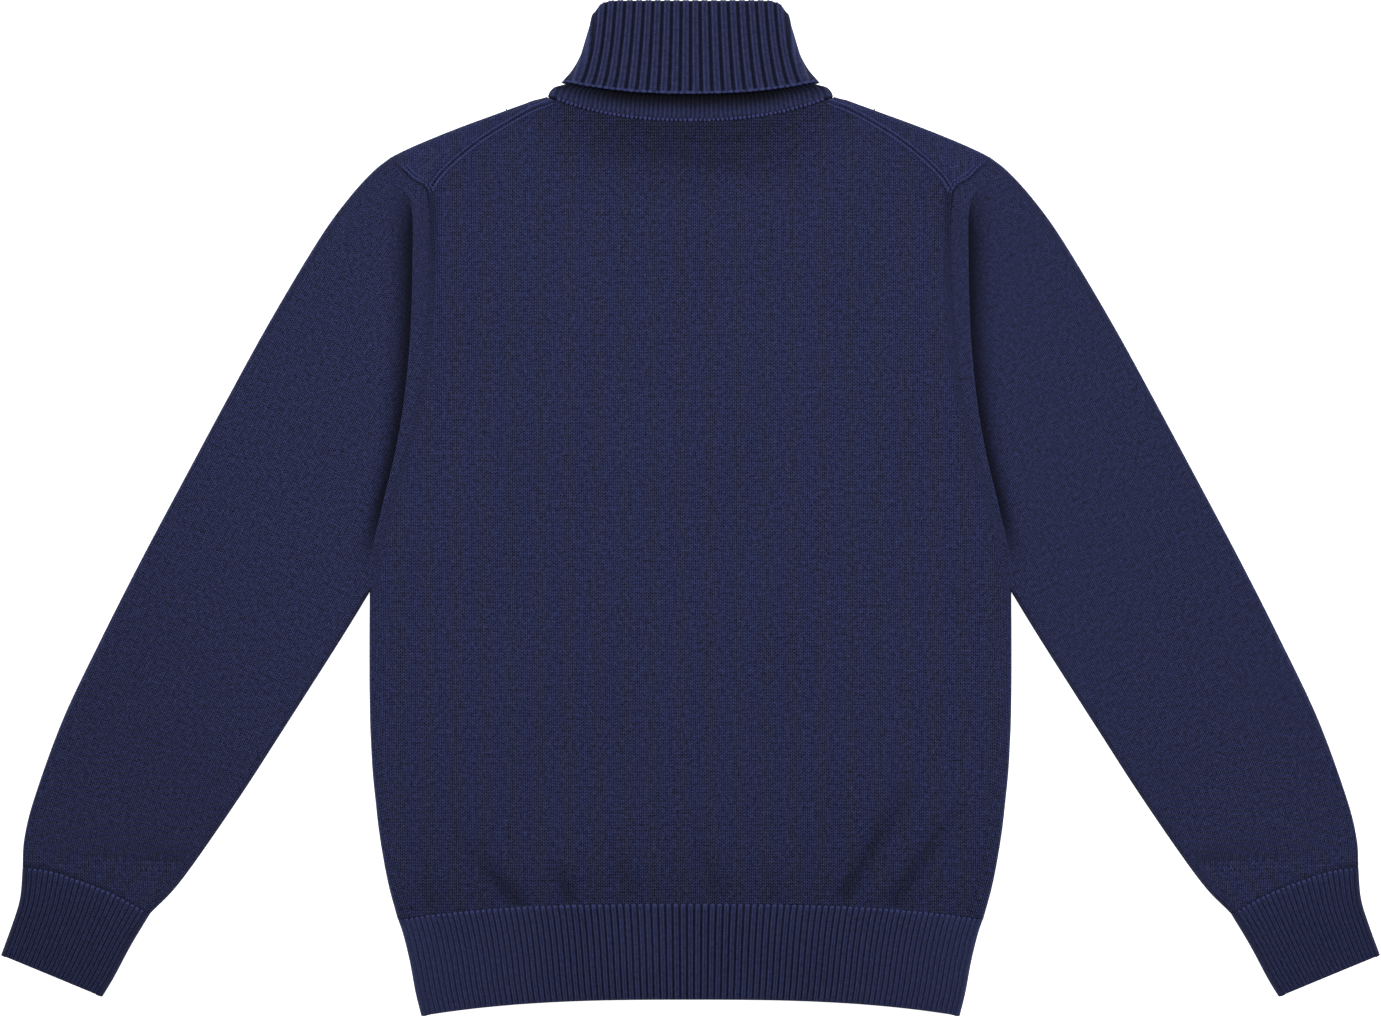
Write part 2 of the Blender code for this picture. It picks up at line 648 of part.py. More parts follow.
def build_front(material):
    flat_columns = [share * NECK_TURNS[0].column for share in NECK_FRONT_SHARES]
    turned_columns = [turn.column for turn in NECK_TURNS]
    columns = both_sides([*flat_columns, *turned_columns, NECK_SHARE, *SHOULDER_COLUMNS])
    rows = [FRONT.row(v, columns) for v in FRONT.rows(FRONT_SIDE_ROWS, ARM_COARSE)]
    wraps = [*wrap_edge(-1), *(wrap_points(u) for u in columns), *wrap_edge(1)[::-1]]
    for k in range(WRAP_STEPS):
        rows.append(([w[0][k] for w in wraps], [w[1][k] for w in wraps]))
    wall("front", [r[0] for r in rows], [r[1] for r in rows], material)


# ---------------------------------------------------------------- sleeves and cuffs
RING_START = 34.0  # past the crease's lip, where the rings stop following the armhole
SLEEVE_NEAR = (    # distances of the rings before that, from the armhole seam
    lambda lip: 0.0, lambda lip: lip * 0.5, lambda lip: lip, lambda lip: lip + CREASE_FALL,
    lambda lip: lip + 10.0, lambda lip: lip + 20.0,
)
SLEEVE_FAR = (0.0, 0.12, 0.26, 0.42, 0.58, 0.73, 0.85, 0.92, 0.96, 0.985, 1.0)
SEAM_REACH = (0.04, 0.02)  # shares of a sleeve near its two seams, where its sides follow them
BESIDE = 0.03              # share across that gives the way in from a side


def half_fold(edge, inward):
    """Outer and inner points round a tube's side, from its top to its underside."""
    outer, inner = [], []
    for step in HALF_TURN:
        angle = step * math.pi
        for made, radius in ((outer, FOLD), (inner, FOLD - CLOTH)):
            p = edge + inward * (FOLD - radius * math.sin(angle))
            made.append((*p, FOLD - radius * math.cos(angle)))
    return outer, inner


def sleeve_plan(a, b):
    """Plan point of a sleeve: a from its outer edge to its inner one, b from the armhole."""
    return across_blend(
        ARM.at,
        CUFF_TOP.at,
        shifted(OUTER, SEAM * ARM.normal(0), -SEAM * CUFF_TOP.normal(0)),
        shifted(INNER, SEAM * ARM.normal(1), -SEAM * CUFF_TOP.normal(1)),
        a, b, hold=2,
    )


def sleeve_spot(a, b, distance):
    """The sleeve's b at ring b: the first rings keep their distance from the armhole."""
    length = np.linalg.norm(sleeve_plan(a, 0.5) - sleeve_plan(a, 0)) * 2
    start = (lip_distance(a) + RING_START) / length
    return start + (1 - start) * b if distance is None else distance(lip_distance(a)) / length


def sleeve_point(a, b, distance):
    """Outer and inner point of the sleeve's upper layer."""
    def height(b):
        spot = sleeve_plan(a, b)
        return sleeve_top(a, b, np.linalg.norm(spot - sleeve_plan(a, 0)))

    share = sleeve_spot(a, b, distance)
    ahead, behind = min(share + 0.003, 1), max(share - 0.003, 0)
    run = sleeve_plan(a, ahead) - sleeve_plan(a, behind)
    slope = (height(ahead) - height(behind)) / np.linalg.norm(run)
    lean = math.hypot(1, slope)
    p, z = sleeve_plan(a, share), height(share)
    back = unit(run) * CLOTH * slope / lean
    if share in (0, 1):
        back = back * 0
    return (*p, z), (*(p + back), z - CLOTH / lean)


def sleeve_ring(b, distance):
    outer, inner = [], []
    for a in ARM_FINE:
        out, inn = sleeve_point(a, b, distance)
        outer.append(out)
        inner.append(inn)
    for a, lower in ((1, ARM_COARSE[::-1]), (0, ())):
        share = sleeve_spot(a, b, distance)
        edge = sleeve_plan(a, share)
        along = unit(sleeve_plan(a, min(share + 0.02, 1)) - sleeve_plan(a, max(share - 0.02, 0)))
        square = np.array([-along[1], along[0]]) * (1 if a else -1)
        across = unit(sleeve_plan(abs(a - BESIDE), share) - edge)
        near_seam = max(1 - share / SEAM_REACH[0], 0) + max(1 - (1 - share) / SEAM_REACH[1], 0)
        inward = unit(across * near_seam + square * (1 - near_seam))
        out, inn = half_fold(edge, inward)
        if a == 0:
            out, inn = out[::-1], inn[::-1]
        outer += out
        inner += inn
        for s in lower:
            p = sleeve_plan(s, sleeve_spot(s, b, distance))
            outer.append((*p, 0.0))
            inner.append((*p, CLOTH))
    return outer, inner


def build_sleeve(name, side, material):
    rings = [sleeve_ring(0, distance) for distance in SLEEVE_NEAR]
    rings += [sleeve_ring(b, None) for b in SLEEVE_FAR]
    wall(name, [r[0] for r in rings], [r[1] for r in rings], material, closed=True, side=side)


CUFF_ROWS = (0.0, 0.03, 0.5, 0.97, 1.0)
CUFF_BELOW = (0.85, 0.7, 0.5, 0.3, 0.15)


def cuff_plan(a, b):
    outer, inner = (shifted(side, SEAM * CUFF_TOP.normal(k), 0) for k, side in enumerate(CUFF_SIDES))
    return across_blend(CUFF_TOP.at, CUFF_EDGE.at, outer, inner, a, b)


def cuff_ring(b):
    """Outer and inner points of one ring, ribbed on top and plain below."""
    width = np.linalg.norm(cuff_plan(1, b) - cuff_plan(0, b))
    rib = 0 if b in (0, 1) else TRIM_RIB
    span = 1 - 2 * FOLD / width
    outer, inner = [], []
    for share, crest in rib_columns(CUFF_RIBS, SHARP_RIB)[1:-1]:
        a = FOLD / width + span * share
        outer.append((*cuff_plan(a, b), TRIM_VALLEY + rib * crest))
    short = RIM_LEAN / CUFF_SIDES[0].length
    for a in CUFF_BELOW[::-1]:
        inner.append((*cuff_plan(a, min(max(b, short), 1 - short)), TRIM_VALLEY - CLOTH))
    for a, lower in ((1, CUFF_BELOW), (0, ())):
        edge = cuff_plan(a, b)
        out, inn = half_fold(edge, unit(cuff_plan(abs(a - BESIDE), b) - edge))
        if a == 0:
            out, inn = out[::-1], inn[::-1]
        outer += out
        inner += inn
        for s in lower:
            outer.append((*cuff_plan(s, b), 0.0))
            inner.append((*cuff_plan(s, b), CLOTH))
    return outer, inner


def build_cuff(name, side, material):
    rings = [cuff_ring(b) for b in CUFF_ROWS]
    wall(name, [r[0] for r in rings], [r[1] for r in rings], material, closed=True, side=side)


# ---------------------------------------------------------------- hem
HEM_ROWS = (0.0, 0.03, 0.5, 0.97, 1.0)
HEM_PLAIN_COLUMNS = 16


def hem_plan(a, b):
    """Plan point of the hem rib: a from -X to +X, b from its lower edge up."""
    side = shifted(HEM_SIDES, 0, -SEAM * UP)
    return across_blend(
        lambda s: np.array([(2 * s - 1) * HEM_HALF, hem_up((2 * s - 1) * HEM_HALF)]),
        lambda s: np.array([(2 * s - 1) * RIB_TOP_HALF, rib_top_up((2 * s - 1) * RIB_TOP_HALF)]),
        lambda t: mirrored(side(t), -1),
        side, a, b,
    )


def hem_row(b, columns, flat, cloth, seam_height):
    """Outer and inner points of one row. columns are (share across, height), for each face."""
    faces = [], []
    margin = FOLD / (2 * HEM_HALF)
    short = RIM_LEAN / RIB_TOP_SIDE
    for side in (-1, 1):
        edge = hem_plan((side + 1) / 2, b)
        turns = rolled_edge(edge, unit(hem_plan(0.5, b) - edge), 1, flat, seam_height, cloth)
        for which, row in enumerate(faces):
            row += [t[which] for t in (turns[::-1] if side < 0 else turns)]
            if side < 0:
                along = min(max(b, short), 1 - short) if which else b
                for share, z in columns[which]:
                    row.append((*hem_plan(margin + (1 - 2 * margin) * share, along), z))
    return faces


def hem_rib_share(share):
    """Share across the hem of a share of its ribs, which are wider in the middle."""
    r, plain = 2 * share - 1, 1 - HEM_RIB_SPREAD
    size = (math.sqrt(plain**2 + 4 * HEM_RIB_SPREAD * abs(r)) - plain) / (2 * HEM_RIB_SPREAD)
    return (1 + math.copysign(size, r)) / 2


def build_hem_back(material):
    plain = [((k + 0.5) / HEM_PLAIN_COLUMNS, TRIM_VALLEY - CLOTH) for k in range(HEM_PLAIN_COLUMNS)]
    columns = [(hem_rib_share(s), crest) for s, crest in rib_columns(HEM_RIBS, SHARP_RIB)[1:-1]]
    rows = []
    for b in HEM_ROWS:
        rib = 0 if b in (0, 1) else TRIM_RIB
        ribs = [(share, TRIM_VALLEY + rib * crest) for share, crest in columns]
        rows.append(hem_row(b, (ribs, plain), FOLD_HEIGHT, -CLOTH, FOLD + SEAM))
    wall("hem_rib_back", [r[0] for r in rows], [r[1] for r in rows], material)


def build_hem_front(material):
    shares = [(k + 0.5) / HEM_PLAIN_COLUMNS for k in range(HEM_PLAIN_COLUMNS)]
    columns = [(s, 0.0) for s in shares], [(s, CLOTH) for s in shares]
    rows = [hem_row(b, columns, 0.0, CLOTH, FOLD - SEAM) for b in HEM_ROWS[::2]]
    wall("hem_rib_front", [r[0] for r in rows], [r[1] for r in rows], material)


# ---------------------------------------------------------------- collar
SIDE_STEPS = (18, 54, 90, 126, 162)  # degrees round each side of the collar
PLAIN_BACK_SHARES = (0, 0.3, 0.6, 0.85, 1)


class Spoke(NamedTuple):
    """One lengthwise line of the collar."""

    layer: int    # 1 on the back half, -1 on the front half
    share: float  # of the half width
    angle: float  # degrees round the side, from the top, or None
    crest: float  # share of the rib's height


def collar_spokes(back):
    """Spokes once round, from the -X side across the back, with the given back half."""
    front = both_sides((*NECK_FRONT_SHARES, 1))
    return [
        *(Spoke(1, share, None, crest) for share, crest in back),
        *(Spoke(0, 1, angle, 0) for angle in SIDE_STEPS),
        *(Spoke(-1, share, None, 0) for share in front[::-1]),
        *(Spoke(0, -1, angle, 0) for angle in SIDE_STEPS[::-1]),
    ]


def collar_point(ring, spoke, offset, lean=0):
    """A point offset from the collar's middle line, and moved up by lean at an open edge."""
    radius = (ring.high - ring.low) / 2
    straight = ring.half - radius
    if spoke.angle is None:
        x, out = spoke.share * straight, (0.0, spoke.layer)
        middle = ring.back if spoke.layer > 0 else ring.front
        z = ring.high if spoke.layer > 0 else ring.low
    else:
        angle = math.radians(spoke.angle)
        out = (spoke.share * math.sin(angle), math.cos(angle))
        x = spoke.share * straight + radius * out[0]
        middle = ring.front + (ring.back - ring.front) * (1 + out[1]) / 2
        z = (ring.high + ring.low) / 2 + radius * out[1]
    up = ring.side + (middle - ring.side) * (1 - min(abs(x) / ring.half, 1) ** ring.bow)
    turn = math.radians(ring.turn)
    over = -math.cos(turn) * offset
    return (x + out[0] * over, up + math.sin(turn) * offset + lean, z + out[1] * over)


def build_collar(material):
    """One tube: up from the neck seam, over at the top, and down again outside."""
    ribs = rib_columns(COLLAR_RIBS, BROAD_RIB)
    ribbed = collar_spokes([(2 * share - 1, crest) for share, crest in ribs])
    plain = collar_spokes([(s, 0) for s in both_sides(PLAIN_BACK_SHARES)])
    faces = [], []
    near, far = COLLAR_GAP / 2, COLLAR_GAP / 2 + COLLAR_CLOTH
    for ring in COLLAR_RINGS:
        lean = RIM_LEAN if ring in (COLLAR_RINGS[0], COLLAR_RINGS[-1]) else 0
        sections = (faces[0], far, 1, ring.outer_rib), (faces[1], near, -1, ring.inner_rib)
        for row, offset, side, share in sections:
            if share is None:
                row.append([collar_point(ring, spoke, offset, lean) for spoke in plain])
            else:
                rib = side * COLLAR_RIB * share
                row.append([collar_point(ring, spoke, offset + rib * spoke.crest) for spoke in ribbed])
    wall("collar", *faces, material, closed=True)


# ---------------------------------------------------------------- scene
def clear_scene():
    for thing in list(bpy.data.objects):
        bpy.data.objects.remove(thing)


def knit(name, colour, roughness):
    material = bpy.data.materials.new(name)
    material.use_nodes = True
    shader = material.node_tree.nodes["Principled BSDF"]
    shader.inputs["Base Color"].default_value = (*colour, 1)
    shader.inputs["Roughness"].default_value = roughness
    shader.inputs["Metallic"].default_value = 0
    return material


def main():
    clear_scene()
    plain = knit("plain_knit", (0.021, 0.026, 0.066), 0.9)
    rib = knit("rib_knit", (0.019, 0.023, 0.06), 0.9)
    build_back(plain)
    build_front(plain)
    for side, which in ((1, "right"), (-1, "left")):
        build_sleeve(f"sleeve_{which}", side, plain)
        build_cuff(f"cuff_{which}", side, rib)
    build_hem_back(rib)
    build_hem_front(rib)
    build_collar(rib)


main()
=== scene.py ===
"""Turtleneck sweater laid flat, back upwards: finer knit walls, ribs, seams and light.

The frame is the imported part: +X to the wearer's right, +Y to the collar, +Z up, metres.
Tables and sizes below are in millimetres. A place in plan is (across, up): the distance
from the centre line, and the distance above the line through the hem's corners.
Each outline is given for the +X half, and the other half is its mirror image.
"""

from __future__ import annotations

import logging
import math
from dataclasses import dataclass, field, replace
from enum import Enum

import bpy
import mathutils
import numpy as np
from mathutils.bvhtree import BVHTree
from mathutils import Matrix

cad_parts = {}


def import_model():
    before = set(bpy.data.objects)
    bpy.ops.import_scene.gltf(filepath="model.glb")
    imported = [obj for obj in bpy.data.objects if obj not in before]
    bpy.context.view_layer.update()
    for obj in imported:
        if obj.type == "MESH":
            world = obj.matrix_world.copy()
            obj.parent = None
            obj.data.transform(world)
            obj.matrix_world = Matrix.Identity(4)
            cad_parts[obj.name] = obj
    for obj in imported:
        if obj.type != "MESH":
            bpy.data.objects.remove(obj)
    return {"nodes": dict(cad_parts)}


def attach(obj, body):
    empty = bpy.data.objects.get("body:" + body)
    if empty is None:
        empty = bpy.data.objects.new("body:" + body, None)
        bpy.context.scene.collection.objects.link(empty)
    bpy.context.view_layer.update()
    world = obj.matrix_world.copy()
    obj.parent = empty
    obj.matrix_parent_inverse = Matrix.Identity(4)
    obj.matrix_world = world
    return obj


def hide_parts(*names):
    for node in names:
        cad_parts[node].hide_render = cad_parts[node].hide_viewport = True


Array = np.ndarray
Pairs = tuple[tuple[float, float], ...]
LOG = logging.getLogger("sweater")
SIDES = {1: "right", -1: "left"}  # the wearer's sides, by the sign of X

MM = 0.001
LENGTH = 760.8        # hem corners to the collar's top fold
CLOTH = 2.4           # thickness of the plain knit
FOLD_HEIGHT = 7.6     # height of the rounded fold at every side edge
FOLD = FOLD_HEIGHT / 2
SEAM = -0.25          # half of a seam's gap, below zero where the edges are linked over each other
WALE = 2.8            # width of one column of stitches in the plain knit
COURSE = 2.2          # height of one row of stitches

HEM_HALF = 202.1        # half width of the hem's lower edge
HEM_RISE = 12.2         # how much higher that edge is in the middle than at its corners
HEM_BOW = 2.75          # power of the curve by which it rises
RIB_TOP_HALF = 219.8    # half width of the seam between the hem rib and the body
RIB_TOP_SIDE = 72.6     # how far up that seam is at its sides
RIB_TOP_MIDDLE = 84.2   # and in the middle
RIB_TOP_BOW = 2.8
NECK_HALF = 107.3       # half width of the neck seam
NECK_STRAIGHT = 102.95  # half width of the part that the front's columns end on
NECK_SIDE = 689.4       # how far up the neck seam is at its sides
NECK_BACK = 670.7       # in the middle of the back
NECK_FRONT = 623.4      # and in the middle of the front
NECK_BOW = 2.4
NECK_CORNER = 100.9     # where the shoulder seam starts
NECK_TOP = 8.2          # height of the cloth at the back neck seam
NECK_SHARE = 0.42       # share of a body panel's columns that end on the neck seam
SIDE_SHARE = 0.44       # share of a body panel's side edge that is side seam
ARM_RISE_SHARE = 0.09   # share of the armhole over which the cloth rises from the shoulder fold
ARM_FALL_SHARE = 0.1    # and falls to the underarm
SAME = 1e-9             # two places closer than this are the same
FAR = 1000.0            # a distance at which a seam has no effect
KNIT_APART = 1000 * WALE  # keeps the knit places of an edge strip apart from the panel's own
QUARTER_ROLL = (0, math.pi / 4, math.pi / 2)  # angles of the points round a rolled edge
RIM_RADIUS = 1.1        # radius of the rounded edges of ribbed pieces
EDGE_DARK = 0.4         # share of light lost where cloth turns under beside the table
LOW_DARK = {1: 0.03, -1: 0.13}  # share of light lost at the sleeve's lower end, by side


# ---------------------------------------------------------------- curves and blends
def smooth_step(x: Array | float) -> Array:
    """A soft step from 0 to 1 as x goes from 0 to 1."""
    x = np.clip(x, 0.0, 1.0)
    return x * x * (3 - 2 * x)


def bell(x: Array | float, width: float) -> Array:
    """A smooth hump, 1 at x = 0, that has faded by about twice its width."""
    return np.exp(-((np.asarray(x) / width) ** 2))


def cubic(t: Array | float, start: Array, leave: Array, end: Array, arrive: Array) -> Array:
    """A cubic curve's points at shares t of the way, from its two ends and the slopes there."""
    return (
        (2 * t**3 - 3 * t**2 + 1) * start + (t**3 - 2 * t**2 + t) * leave
        + (3 * t**2 - 2 * t**3) * end + (t**3 - t**2) * arrive
    )


def ramp(x: Array | float, span: tuple[float, float]) -> Array:
    """A soft step that starts at the first number of span and takes the second one."""
    return smooth_step((x - span[0]) / span[1])


class Curve:
    """A smooth curve through plan points, read by its share of length."""

    def __init__(self, *spots: tuple[float, float], steps: int = 16) -> None:
        """Lays the curve through spots, with steps straight pieces between each two."""
        p = np.array(spots, float)
        p = np.vstack([2 * p[0] - p[1], p, 2 * p[-1] - p[-2]])
        t = np.linspace(0, 1, steps, endpoint=False)[:, None]
        parts = [
            cubic(t, p[i], (p[i + 1] - p[i - 1]) / 2, p[i + 1], (p[i + 2] - p[i]) / 2)
            for i in range(1, len(p) - 2)
        ]
        self.points = np.vstack([*parts, p[-2:-1]])
        run = np.linalg.norm(np.diff(self.points, axis=0), axis=1)
        self.run = np.concatenate([[0], np.cumsum(run)])
        self.length = float(self.run[-1])

    def at(self, share: Array | float) -> Array:
        """Plan points at shares of the length."""
        s = np.asarray(share, float) * self.length
        return np.stack([np.interp(s, self.run, self.points[:, k]) for k in (0, 1)], -1)

    def normal(self, share: Array | float) -> Array:
        """Unit normals to the left of the way along."""
        share = np.asarray(share, float)
        d = self.at(np.minimum(share + 0.01, 1)) - self.at(np.maximum(share - 0.01, 0))
        return unit(np.stack([-d[..., 1], d[..., 0]], -1))

    def share_near(self, spot: tuple[float, float] | Array) -> float:
        """The share of length at the point nearest to spot."""
        far = np.linalg.norm(self.points - np.asarray(spot, float), axis=1)
        return float(self.run[int(far.argmin())] / self.length)


def unit(p: Array) -> Array:
    """Vectors scaled to length one."""
    return p / np.maximum(np.linalg.norm(p, axis=-1, keepdims=True), 1e-12)


def mirrored(p: Array, side: float = -1) -> Array:
    """Plan points on the other half, or the same one for side 1."""
    return p * np.array([side, 1.0])


def finer(grid: Array, factor: int) -> Array:
    """A grid with factor - 1 points added in each gap of its rows, on smooth curves.

    Args:
        grid: points in rows, the first axis being refined.
        factor: how many gaps each old gap becomes.

    Returns:
        The refined grid, which still passes through the old points.
    """
    gap = np.linalg.norm(np.diff(grid, axis=0), axis=-1, keepdims=True) + 1e-6
    slope = np.diff(grid, axis=0) / gap
    before, after = gap[:-1], gap[1:]
    one, two = slope[:-1], slope[1:]
    # The slope at a point is a mean of its neighbours', or none where they disagree.
    same_way = one * two > 1e-12
    weights = (2 * after + before) / np.where(same_way, one, 1)
    weights = weights + (after + 2 * before) / np.where(same_way, two, 1)
    inner = np.where(same_way, 3 * (before + after) / np.where(same_way, weights, 1), 0)
    tangent = np.concatenate([slope[:1], inner, slope[-1:]])
    rows = [
        cubic(t, grid[i], gap[i] * tangent[i], grid[i + 1], gap[i] * tangent[i + 1])
        for i in range(len(grid) - 1) for t in np.arange(factor) / factor
    ]
    return np.array([*rows, grid[-1]])


SIDE = Curve(
    (RIB_TOP_HALF, RIB_TOP_SIDE), (227.6, 102.2), (232.9, 132.2), (236.6, 162.2),
    (239.3, 192.2), (240.9, 237.0), (241.1, 282.0), (240.8, 318.4),
)
ARM = Curve(
    (225.0, 644.4), (210.0, 629.1), (196.2, 615.5), (195.2, 567.0), (197.6, 514.7),
    (202.9, 469.7), (211.9, 432.2), (223.9, 394.7), (234.4, 357.2), (240.8, 318.4),
)
SHOULDER_FOLD = Curve(
    (107.5, 690.0), (121.0, 685.9), (144.4, 677.5), (180.8, 664.0), (212.0, 650.9), (225.0, 644.4),
)
SHOULDER = Curve(
    (NECK_CORNER, 686.8), (119.0, 680.0), (139.0, 669.0), (157.9, 657.0),
    (176.6, 642.0), (190.0, 628.0), (196.2, 615.5),
)
SLEEVE_OUTER = Curve(
    (225.0, 644.4), (238.6, 633.6), (256.8, 613.6), (278.9, 583.1), (315.4, 522.2),
    (348.4, 462.2), (380.6, 402.2), (412.5, 342.2), (442.9, 282.2), (471.4, 222.2),
    (493.1, 162.2), (500.3, 132.2), (501.4, 112.0),
)
SLEEVE_INNER = Curve(
    (240.8, 318.4), (262.9, 282.2), (301.1, 222.2), (339.8, 162.2), (381.8, 102.2), (405.4, 77.0),
)
CUFF_SEAM = Curve((501.4, 112.0), (481.0, 109.4), (455.0, 100.9), (430.0, 90.6), (405.4, 77.0))
CUFF_OUTER = Curve((501.4, 112.0), (503.3, 88.7), (508.5, 70.7), (517.5, 45.9))
CUFF_INNER = Curve((405.4, 77.0), (420.0, 52.7), (432.8, 28.7), (441.4, 14.4))
CUFF_END = Curve((517.5, 45.9), (479.5, 30.2), (441.4, 14.4))
HEM_SIDE = Curve((HEM_HALF, 0.0), (206.3, 16.7), (210.8, 40.7), (215.8, 61.0), (RIB_TOP_HALF, RIB_TOP_SIDE))

ARM_CORNER = ARM.share_near((196.2, 615.5))  # where the shoulder seam ends
ARM_TURN = FOLD / ARM.length
FOLD_WAY = unit(SHOULDER_FOLD.at(0.1) - SHOULDER_FOLD.at(0))


def rib_top_up(x: Array) -> Array:
    """Height in plan of the seam between the body and the hem rib."""
    return RIB_TOP_MIDDLE - (RIB_TOP_MIDDLE - RIB_TOP_SIDE) * np.abs(x / RIB_TOP_HALF) ** RIB_TOP_BOW


def hem_up(x: Array) -> Array:
    """Height in plan of the hem's lower edge."""
    return HEM_RISE * (1 - np.abs(x / HEM_HALF) ** HEM_BOW)


def neck_up(x: Array, middle: float) -> Array:
    """Height in plan of the neck seam, whose lowest point is middle."""
    return NECK_SIDE + (middle - NECK_SIDE) * (1 - np.minimum(np.abs(x / NECK_HALF), 1) ** NECK_BOW)


def from_seams(p: Array) -> tuple[Array, Array]:
    """How far plan points are above the hem rib's seam, and below the back neck seam."""
    x, up = p[..., 0], p[..., 1]
    return up - rib_top_up(x), np.maximum(neck_up(x, NECK_BACK) - up, 0)


def armhole_top(a: Array) -> Array:
    """Height of the cloth along the armhole seam, a from the shoulder to the underarm."""
    rise = smooth_step((a - ARM_TURN) / ARM_RISE_SHARE) * smooth_step((1 - ARM_TURN - a) / ARM_FALL_SHARE)
    return FOLD_HEIGHT + rise


def coons(
    low: Array, high: Array, left: Array, right: Array, ends: Array, a: Array, b: Array, hold: float = 1,
) -> Array:
    """Plan points inside four edges.

    Args:
        low: points on the first edge at each a. high: the same on the last edge.
        left: points on the first side at each b. right: the same on the last side.
        ends: the corners low-left, low-right, high-left and high-right.
        a: share across. b: share from the first edge to the last.
        hold: how fast the first edge's shape fades.

    Returns:
        One plan point for each pair of a and b.
    """
    a, b = a[..., None], b[..., None]
    bend_low = low - (1 - a) * ends[0] - a * ends[1]
    bend_high = high - (1 - a) * ends[2] - a * ends[3]
    return (1 - a) * left + a * right + (1 - b) ** hold * bend_low + b * bend_high


def soft_waves(x: Array, up: Array, seed: int, scale: float, count: int = 5) -> Array:
    """Slow uneven waves of about unit height, the same on each run.

    Args:
        x: plan places across. up: plan places up.
        seed: picks the set of waves. scale: a typical wavelength.
        count: how many waves are added up.
    """
    draw = np.random.default_rng(seed)
    total = np.zeros_like(np.asarray(x, float))
    for _ in range(count):
        angle, phase, stretch = draw.random(3) * (2 * math.pi, 2 * math.pi, 1.0)
        k = 2 * math.pi / (scale * (0.6 + stretch))
        total += np.sin(k * (x * math.cos(angle) + up * math.sin(angle)) + phase)
    return total / math.sqrt(count)


# ---------------------------------------------------------------- walls of cloth
def strip_between(one: Array, two: Array, points: Array) -> list[tuple[int, int, int]]:
    """Triangles between two rows of point numbers, each step by the shorter diagonal."""
    made, i, j = [], 0, 0
    while i < len(one) - 1 or j < len(two) - 1:
        if j == len(two) - 1:
            first = True
        elif i == len(one) - 1:
            first = False
        else:
            along_one = math.dist(points[one[i + 1]], points[two[j]])
            first = along_one <= math.dist(points[one[i]], points[two[j + 1]])
        if first:
            made.append((int(one[i]), int(one[i + 1]), int(two[j])))
            i += 1
        else:
            made.append((int(one[i]), int(two[j + 1]), int(two[j])))
            j += 1
    return made


